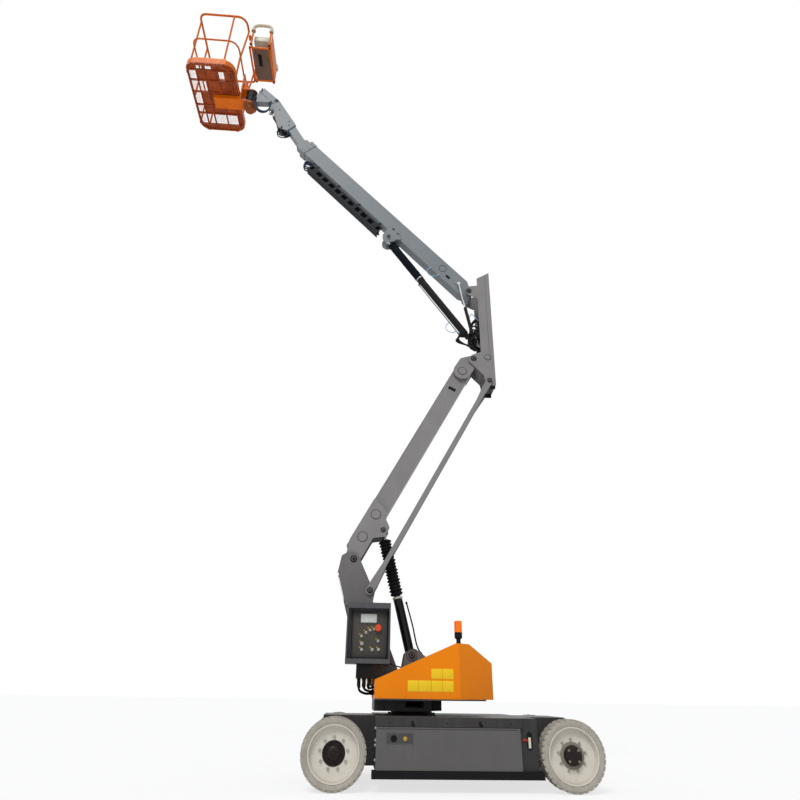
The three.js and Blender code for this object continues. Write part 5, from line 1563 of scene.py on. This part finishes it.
    def build_fly(self) -> None:
        """The sliding boom's head: pin caps, screws, hose clamp and loops."""
        repaint(BOOM_GREY_SKY_TINT, "fly_boom", "platform_support")
        for side in Side:
            PinCap(MAIN.at(4689, 278.5, side.value * 78), side, 0.028).build(
                f"{side.word}_head_pin", BLACK_IRON, "platform_support"
            )
            PinCap(spot(-2400, side.value * 77, 8640), side, 0.014).build(
                f"{side.word}_slave_pin", BLACK_IRON, "slave_cylinder"
            )
            screws = [MAIN.at(s, n, side.value * 70) for s, n in ((4110, 90), (4180, 150), (4480, 190))]
            dress(bolts(f"{side.word}_head_screws", screws, side.out, 0.007), BLACK_IRON, "fly_boom")
        corner = MAIN.at(4050, -60, -60)
        clamp = block("hose_clamp_plate", corner, corner + Vector((0.05, 0.1, 0.07)), 0.003)
        dress(clamp, BLACK_PAINT, "fly_boom")
        small = [
            hose(
                f"head_loop_{i}",
                [
                    MAIN.at(s, n, -30 + 26 * i)
                    for s, n in (
                        (3990, 10), (3985, -60 - 10 * i), (4060, -130 - 12 * i), (4140, -120), (4170, -50)
                    )
                ],
                0.008,
            )
            for i in range(2)
        ]
        dress(joined("head_loops", small), HOSE_BLUE, "fly_boom")

    def build(self) -> None:
        """Builds and dresses the upper booms."""
        self.build_upright()
        self.build_boom()
        self.build_tray()
        self.build_cylinders()
        self.build_fly()


# ------------------------------------------------------------------------------------------------ platform
@dataclass
class WorkPlatform:
    """The work platform with its rotator, floor, rails, controls and padded guards.

    Attributes:
        windows: each mesh window's lowest and highest x, then y, in millimetres.
    """

    windows: tuple[tuple[float, float, float, float], ...] = (
        (-3850, -3745, -470, -325), (-3850, -3745, -305, -125), (-3850, -3745, -105, 105),
        (-3850, -3745, 125, 258), (-3850, -3745, 278, 465), (-3725, -3622, -305, -125),
        (-3725, -3622, 278, 465), (-3725, -3640, -550, -495), (-3590, -3500, -550, -495),
        (-3600, -3420, 278, 465), (-3400, -3238, 278, 465), (-3400, -3320, -470, -325),
    )

    def build_rotator(self) -> None:
        """The rotary actuator's bands, lower end cap, saddle and hose loops."""
        repaint(BLACK_IRON, "platform_rotator")
        repaint(PLATFORM_ORANGE, "platform_bracket")
        axis = UP
        rings = [
            turned(
                "rotator_band", spot(ROTATOR_X, 0, z), axis,
                [(0.0905, 0), (0.094, 0.002), (0.094, 0.016), (0.0905, 0.018)], 40,
            )
            for z in (9212, 9310, 9420)
        ]
        dress(joined("rotator_bands", rings), BLACK_PAINT, "platform_support")
        cap = turned(
            "rotator_lower_cap", spot(ROTATOR_X, 0, 9056), axis,
            [
                (0.066, 0), (0.074, 0.006), (0.076, 0.05), (0.1, 0.062), (0.106, 0.07), (0.106, 0.116),
                (0.1, 0.122),
            ],
            40,
        )
        dress(cap, ROTATOR_BROWN, "platform")
        saddle = [
            block("saddle_plate", spot(-3140, -78, 9452), spot(-2905, 78, 9464), 0.003),
            block("saddle_web", spot(-3140, -78, 9452), spot(-3020, -66, 9560), 0.004),
            block("saddle_web", spot(-3140, 66, 9452), spot(-3020, 78, 9560), 0.004),
            block("saddle_box", spot(-3142, -70, 9470), spot(-3070, 70, 9590), 0.006),
        ]
        dress(joined("rotator_saddle", saddle), PLATFORM_ORANGE, "platform")
        # Painted shade: a black block stands for the shade inside the support tube's open end.
        tube_end_shade = block("support_tube_inset", spot(-2817, -58, 9462), spot(-2800, 58, 9548), 0.004)
        dress(tube_end_shade, SHADOW_BLACK, "platform_support")
        loops = [
            hose(
                f"rotator_loop_{i}",
                [
                    spot(-2868, -92 - 10 * i, 9250), spot(-2856 - 12 * i, -98 - 12 * i, 9120),
                    spot(-2790, -102 - 14 * i, 8970 - 36 * i),
                    spot(-2690 + 10 * i, -102 - 14 * i, 8940 - 30 * i),
                    spot(-2630 + 8 * i, -100 - 12 * i, 9020), spot(-2640, -96 - 10 * i, 9130),
                ],
                0.009,
            )
            for i in range(3)
        ]
        dress(joined("rotator_hose_loops", loops), HOSE_BLUE, "platform_support")

    def build_floor(self) -> None:
        """The deck: a rimmed plate with mesh windows, ribs under it and the mesh's wires."""
        corners = [
            spot(-3879, -585, 9280), spot(-3150, -585, 9280), spot(-3150, 585, 9280), spot(-3879, 585, 9280)
        ]
        deck = plate("deck_plate", corners, Vector((0, 0, 0.0145)), 120, 0.001)
        cutters = [
            block("window", spot(x0, y0, 9240), spot(x1, y1, 9330), 0.001) for x0, x1, y0, y1 in self.windows
        ]
        cutter = joined("windows", cutters)
        cut = deck.modifiers.new("cut_windows", "BOOLEAN")
        cut.operation, cut.solver, cut.object = "DIFFERENCE", "EXACT", cutter
        pick(deck)
        bpy.ops.object.modifier_apply(modifier=cut.name)
        bpy.data.objects.remove(cutter)
        ribs = [
            block("rib", spot(x - 8, -560, 9262), spot(x + 8, 560, 9281), 0.002)
            for x in (-3735, -3612, -3410, -3228)
        ]
        ribs += [
            block("cross_rib", spot(-3860, y - 8, 9261), spot(-3170, y + 8, 9280), 0.002)
            for y in (-485, -315, -115, 115, 268, 475)
        ]
        path = [
            (-3865, -460), (-3865, 460), (-3760, 570), (-3265, 570), (-3164, 460), (-3164, -430),
            (-3305, -570), (-3760, -570),
        ]
        rim = [
            hose(
                "rim", [spot(*a, 9268), spot((a[0] + b[0]) / 2, (a[1] + b[1]) / 2, 9268), spot(*b, 9268)],
                0.012,
            )
            for a, b in zip(path, path[1:] + path[:1])
        ]
        dress(smooth(joined("platform_deck", [deck, *ribs, *rim])), DECK_ORANGE, "platform", "platform_floor")
        first = block("wire", Vector((-0.5, -0.0012, -0.0012)), Vector((0.5, 0.0012, 0.0012)), 0.0003)
        wires = []
        for x0, x1, y0, y1 in self.windows:
            for i in range(1, int((y1 - y0) / 22)):
                place = Matrix.Translation(
                    spot((x0 + x1) / 2, y0 + 22 * i, 9290)
                ) @ Matrix.Diagonal(((x1 - x0) / 1000, 1, 1, 1))
                wires.append(copied(first, "wire", place))
            for i in range(1, int((x1 - x0) / 22)):
                turn = Matrix.Rotation(math.pi / 2, 4, "Z") @ Matrix.Diagonal(((y1 - y0) / 1000, 1, 1, 1))
                wires.append(
                    copied(first, "wire", Matrix.Translation(spot(x0 + 22 * i, (y0 + y1) / 2, 9288)) @ turn)
                )
        bpy.data.objects.remove(first)
        dress(joined("platform_deck_mesh", wires), DECK_ORANGE, "platform")

    def build_rails(self) -> None:
        """Rails and toe boards in orange, with bolts through the toe boards."""
        repaint(PLATFORM_ORANGE, "platform_frame", "entry_bar")
        for side in Side:
            y0, y1 = side.span(586.2, 589.6)
            band = block(f"{side.word}_toe_band", spot(-3760, y0, 9302), spot(-3270, y1, 9418), 0.001)
            dress(band, TOE_ORANGE, "platform")
            seats = [spot(x, side.value * 589, 9340) for x in (-3700, -3540, -3380)]
            dress(bolts(f"{side.word}_toe_board_bolts", seats, side.out, 0.0045), ZINC, "platform")

    def build_console(self) -> None:
        """The platform's controls: open tray, ivory box, padded guards and levers."""
        tray = [
            block("tray_bar", spot(*low), spot(*high), 0.006)
            for low, high in (
                ((-3078, -300, 10205), (-3050, 300, 10240)), ((-2750, -300, 10205), (-2722, 300, 10260)),
                ((-3078, 262, 10205), (-2722, 300, 10250)), ((-3078, -300, 10205), (-2722, -276, 10235)),
                ((-2732, -300, 10205), (-2722, 300, 10590)), ((-3078, 290, 10205), (-2722, 300, 10560)),
                ((-3078, -300, 10400), (-3066, 300, 10470)), ((-3096, -345, 10403), (-3058, -280, 10463)),
                ((-3096, 280, 10403), (-3058, 345, 10463)),
            )
        ]
        dress(joined("console_open_tray", tray), PLATFORM_ORANGE, "platform", "platform_console")
        # Painted shade: the console's underside is a dark brown for the shade beneath it.
        under = block("console_underside", spot(-3010, -280, 10208), spot(-2748, 268, 10216), 0.002)
        dress(under, CONSOLE_UNDERSIDE_SHADE, "platform")
        # Painted shade: a thin black block stands for the shade inside the cable slot.
        slot = block("console_cable_slot", spot(-2945, -190, 10205.5), spot(-2885, 20, 10209), 0.001)
        dress(slot, BLACK_RUBBER_AND_HOLE_SHADE, "platform")
        box = block("console_ivory_box", spot(-3030, -262, 10455), spot(-2770, 262, 10570), 0.012)
        dress(box, IVORY_BOX, "platform", "platform_control_box")
        for side in Side:
            self.build_guard(side)
        up = UP
        lever_parts = []
        for y in (-120, 20, 130):
            base = spot(-2880, y, 10560)
            lever_parts.append(
                turned("lever_boot", base, up, [(0.03, 0), (0.026, 0.01), (0.02, 0.018), (0.012, 0.03)], 20)
            )
            lever_parts.append(
                turned(
                    "lever", base + up * 0.028, Vector((-0.15, 0, 1)),
                    [(0.006, 0), (0.006, 0.06), (0.014, 0.07), (0.016, 0.085), (0.01, 0.1)], 16,
                )
            )
        dress(joined("platform_levers", lever_parts), BLACK_RUBBER_AND_HOLE_SHADE, "platform")

    def build_guard(self, side: Side) -> None:
        """A guard hoop beside the controls: an orange tube whose top is wrapped in crowned foam."""
        y = side.value * 326
        front, back, low, high = -3040, -2745, 10240, 10762
        hoop = [
            (front, low), (front, high - 150), (front, high - 70), (front + 34, high - 18),
            (front + 100, high),
        ]
        hoop += [(front + back - x, z) for x, z in reversed(hoop)]
        tube = hose(f"{side.word}_guard_tube", [spot(x, y, z) for x, z in hoop], 0.0165)
        dress(tube, PLATFORM_ORANGE, "platform")
        wrap = [
            (front, high - 170), (front, high - 120), (front, high - 70), (front + 34, high - 18),
            (front + 100, high),
        ]
        wrap += [(front + back - x, z) for x, z in reversed(wrap)]
        foam = hose(f"{side.word}_guard_foam", [spot(x, y, z) for x, z in wrap], 0.0245)
        dress(foam, FOAM_CREAM, "platform", f"{side.word}_console_guard")

    def build(self) -> None:
        """Builds and dresses the platform."""
        self.build_rotator()
        self.build_floor()
        self.build_rails()
        self.build_console()


# ------------------------------------------------------------------------------------------------ studio
@dataclass
class Studio:
    """The floor, the lights and the camera.

    Attributes:
        lens: the camera's focal length in millimetres on a 36 mm sensor.
        pitch: radians above the level.
        yaw: radians towards the tail.
        roll: radians of roll.
        eye: where it stands, in metres.
    """

    lens: float = 26.25
    pitch: float = 0.4674
    yaw: float = 0.0644
    roll: float = 0.0155
    eye: Vector = field(default_factory=lambda: Vector((0.414, -6.424, 0.732)))

    def build_camera(self) -> None:
        """The camera, low beside the machine and looking up."""
        seen = bpy.data.cameras.new("low_side_camera")
        seen.lens, seen.sensor_width = self.lens, 36.0
        seen.clip_end = 200.0
        camera = bpy.data.objects.new("low_side_camera", seen)
        camera.matrix_world = (
            Matrix.Translation(self.eye)
            @ Matrix.Rotation(-self.yaw, 4, "Z")
            @ Matrix.Rotation(math.pi / 2 + self.pitch, 4, "X")
            @ Matrix.Rotation(self.roll, 4, "Z")
        )
        bpy.context.scene.collection.objects.link(camera)
        bpy.context.scene.camera = camera

    def build_floor(self) -> None:
        """A pale floor that fades into the backdrop for the camera and keeps the machine's shadow."""
        clear_selection()
        bpy.ops.mesh.primitive_plane_add(size=160, location=(0, 0, 0))
        ground = settle(bpy.context.object)
        ground.name = "studio_floor"
        made = bpy.data.materials.new("pale_studio_floor")
        made.use_nodes = True
        tree = made.node_tree
        tree.nodes.clear()
        matt = node(tree, "ShaderNodeBsdfDiffuse", Color=linear("#f4f4f4")).outputs["BSDF"]
        lit = node(tree, "ShaderNodeEmission", Color=linear(WHITE), Strength=1.0).outputs["Emission"]
        rays = node(tree, "ShaderNodeLightPath")
        mostly = node(
            tree, "ShaderNodeMath", {"operation": "MULTIPLY"}, i0=rays.outputs["Is Camera Ray"], i1=0.72
        ).outputs[0]
        mixed = node(tree, "ShaderNodeMixShader", i0=mostly, i1=matt, i2=lit).outputs[0]
        node(tree, "ShaderNodeOutputMaterial", Surface=mixed)
        ground.data.materials.append(made)

    def build_light(self) -> None:
        """A soft sky and one broad sun from the front left."""
        world = bpy.data.worlds.new("studio_sky")
        bpy.context.scene.world = world
        world.use_nodes = True
        tree = world.node_tree
        tree.nodes.clear()
        soft = node(tree, "ShaderNodeBackground", Color=linear("#f2f5fa"), Strength=0.6).outputs[0]
        white = node(tree, "ShaderNodeBackground", Color=linear(WHITE), Strength=1.0).outputs[0]
        rays = node(tree, "ShaderNodeLightPath")
        straight = node(
            tree, "ShaderNodeMath", {"operation": "MAXIMUM"}, i0=rays.outputs["Is Camera Ray"],
            i1=rays.outputs["Is Glossy Ray"],
        ).outputs[0]
        straight = node(
            tree, "ShaderNodeMath", {"operation": "MAXIMUM"}, i0=straight,
            i1=rays.outputs["Is Transmission Ray"],
        ).outputs[0]
        mixed = node(tree, "ShaderNodeMixShader", i0=straight, i1=soft, i2=white).outputs[0]
        node(tree, "ShaderNodeOutputWorld", Surface=mixed)
        lamp = bpy.data.lights.new("broad_sun", "SUN")
        lamp.energy, lamp.angle = 1.8, math.radians(24)
        sun = bpy.data.objects.new("broad_sun", lamp)
        sun.rotation_euler = Vector((-0.35, -0.9, 1.05)).to_track_quat("Z", "Y").to_euler()
        bpy.context.scene.collection.objects.link(sun)

    def build(self) -> None:
        """Sets up the whole studio."""
        self.build_camera()
        self.build_floor()
        self.build_light()
        bpy.context.scene.view_settings.view_transform = "Standard"


def main() -> None:
    """Builds every sub-assembly in order."""
    logging.basicConfig(level=logging.INFO, format="%(name)s %(message)s")
    assemblies: list[object] = [
        Studio(), Chassis(), Turntable(), LowerAssembly(), MainAssembly(), WorkPlatform()
    ]
    for drive, x in ((Drive.FREE, -1030.0), (Drive.MOTOR, 1030.0)):
        assemblies += [Wheel(drive, side, x) for side in Side]
    for assembly in assemblies:
        before = len(bpy.data.objects)
        assembly.build()
        LOG.info("%s: %d pieces", type(assembly).__name__, len(bpy.data.objects) - before)


if __name__ == "__main__":
    main()
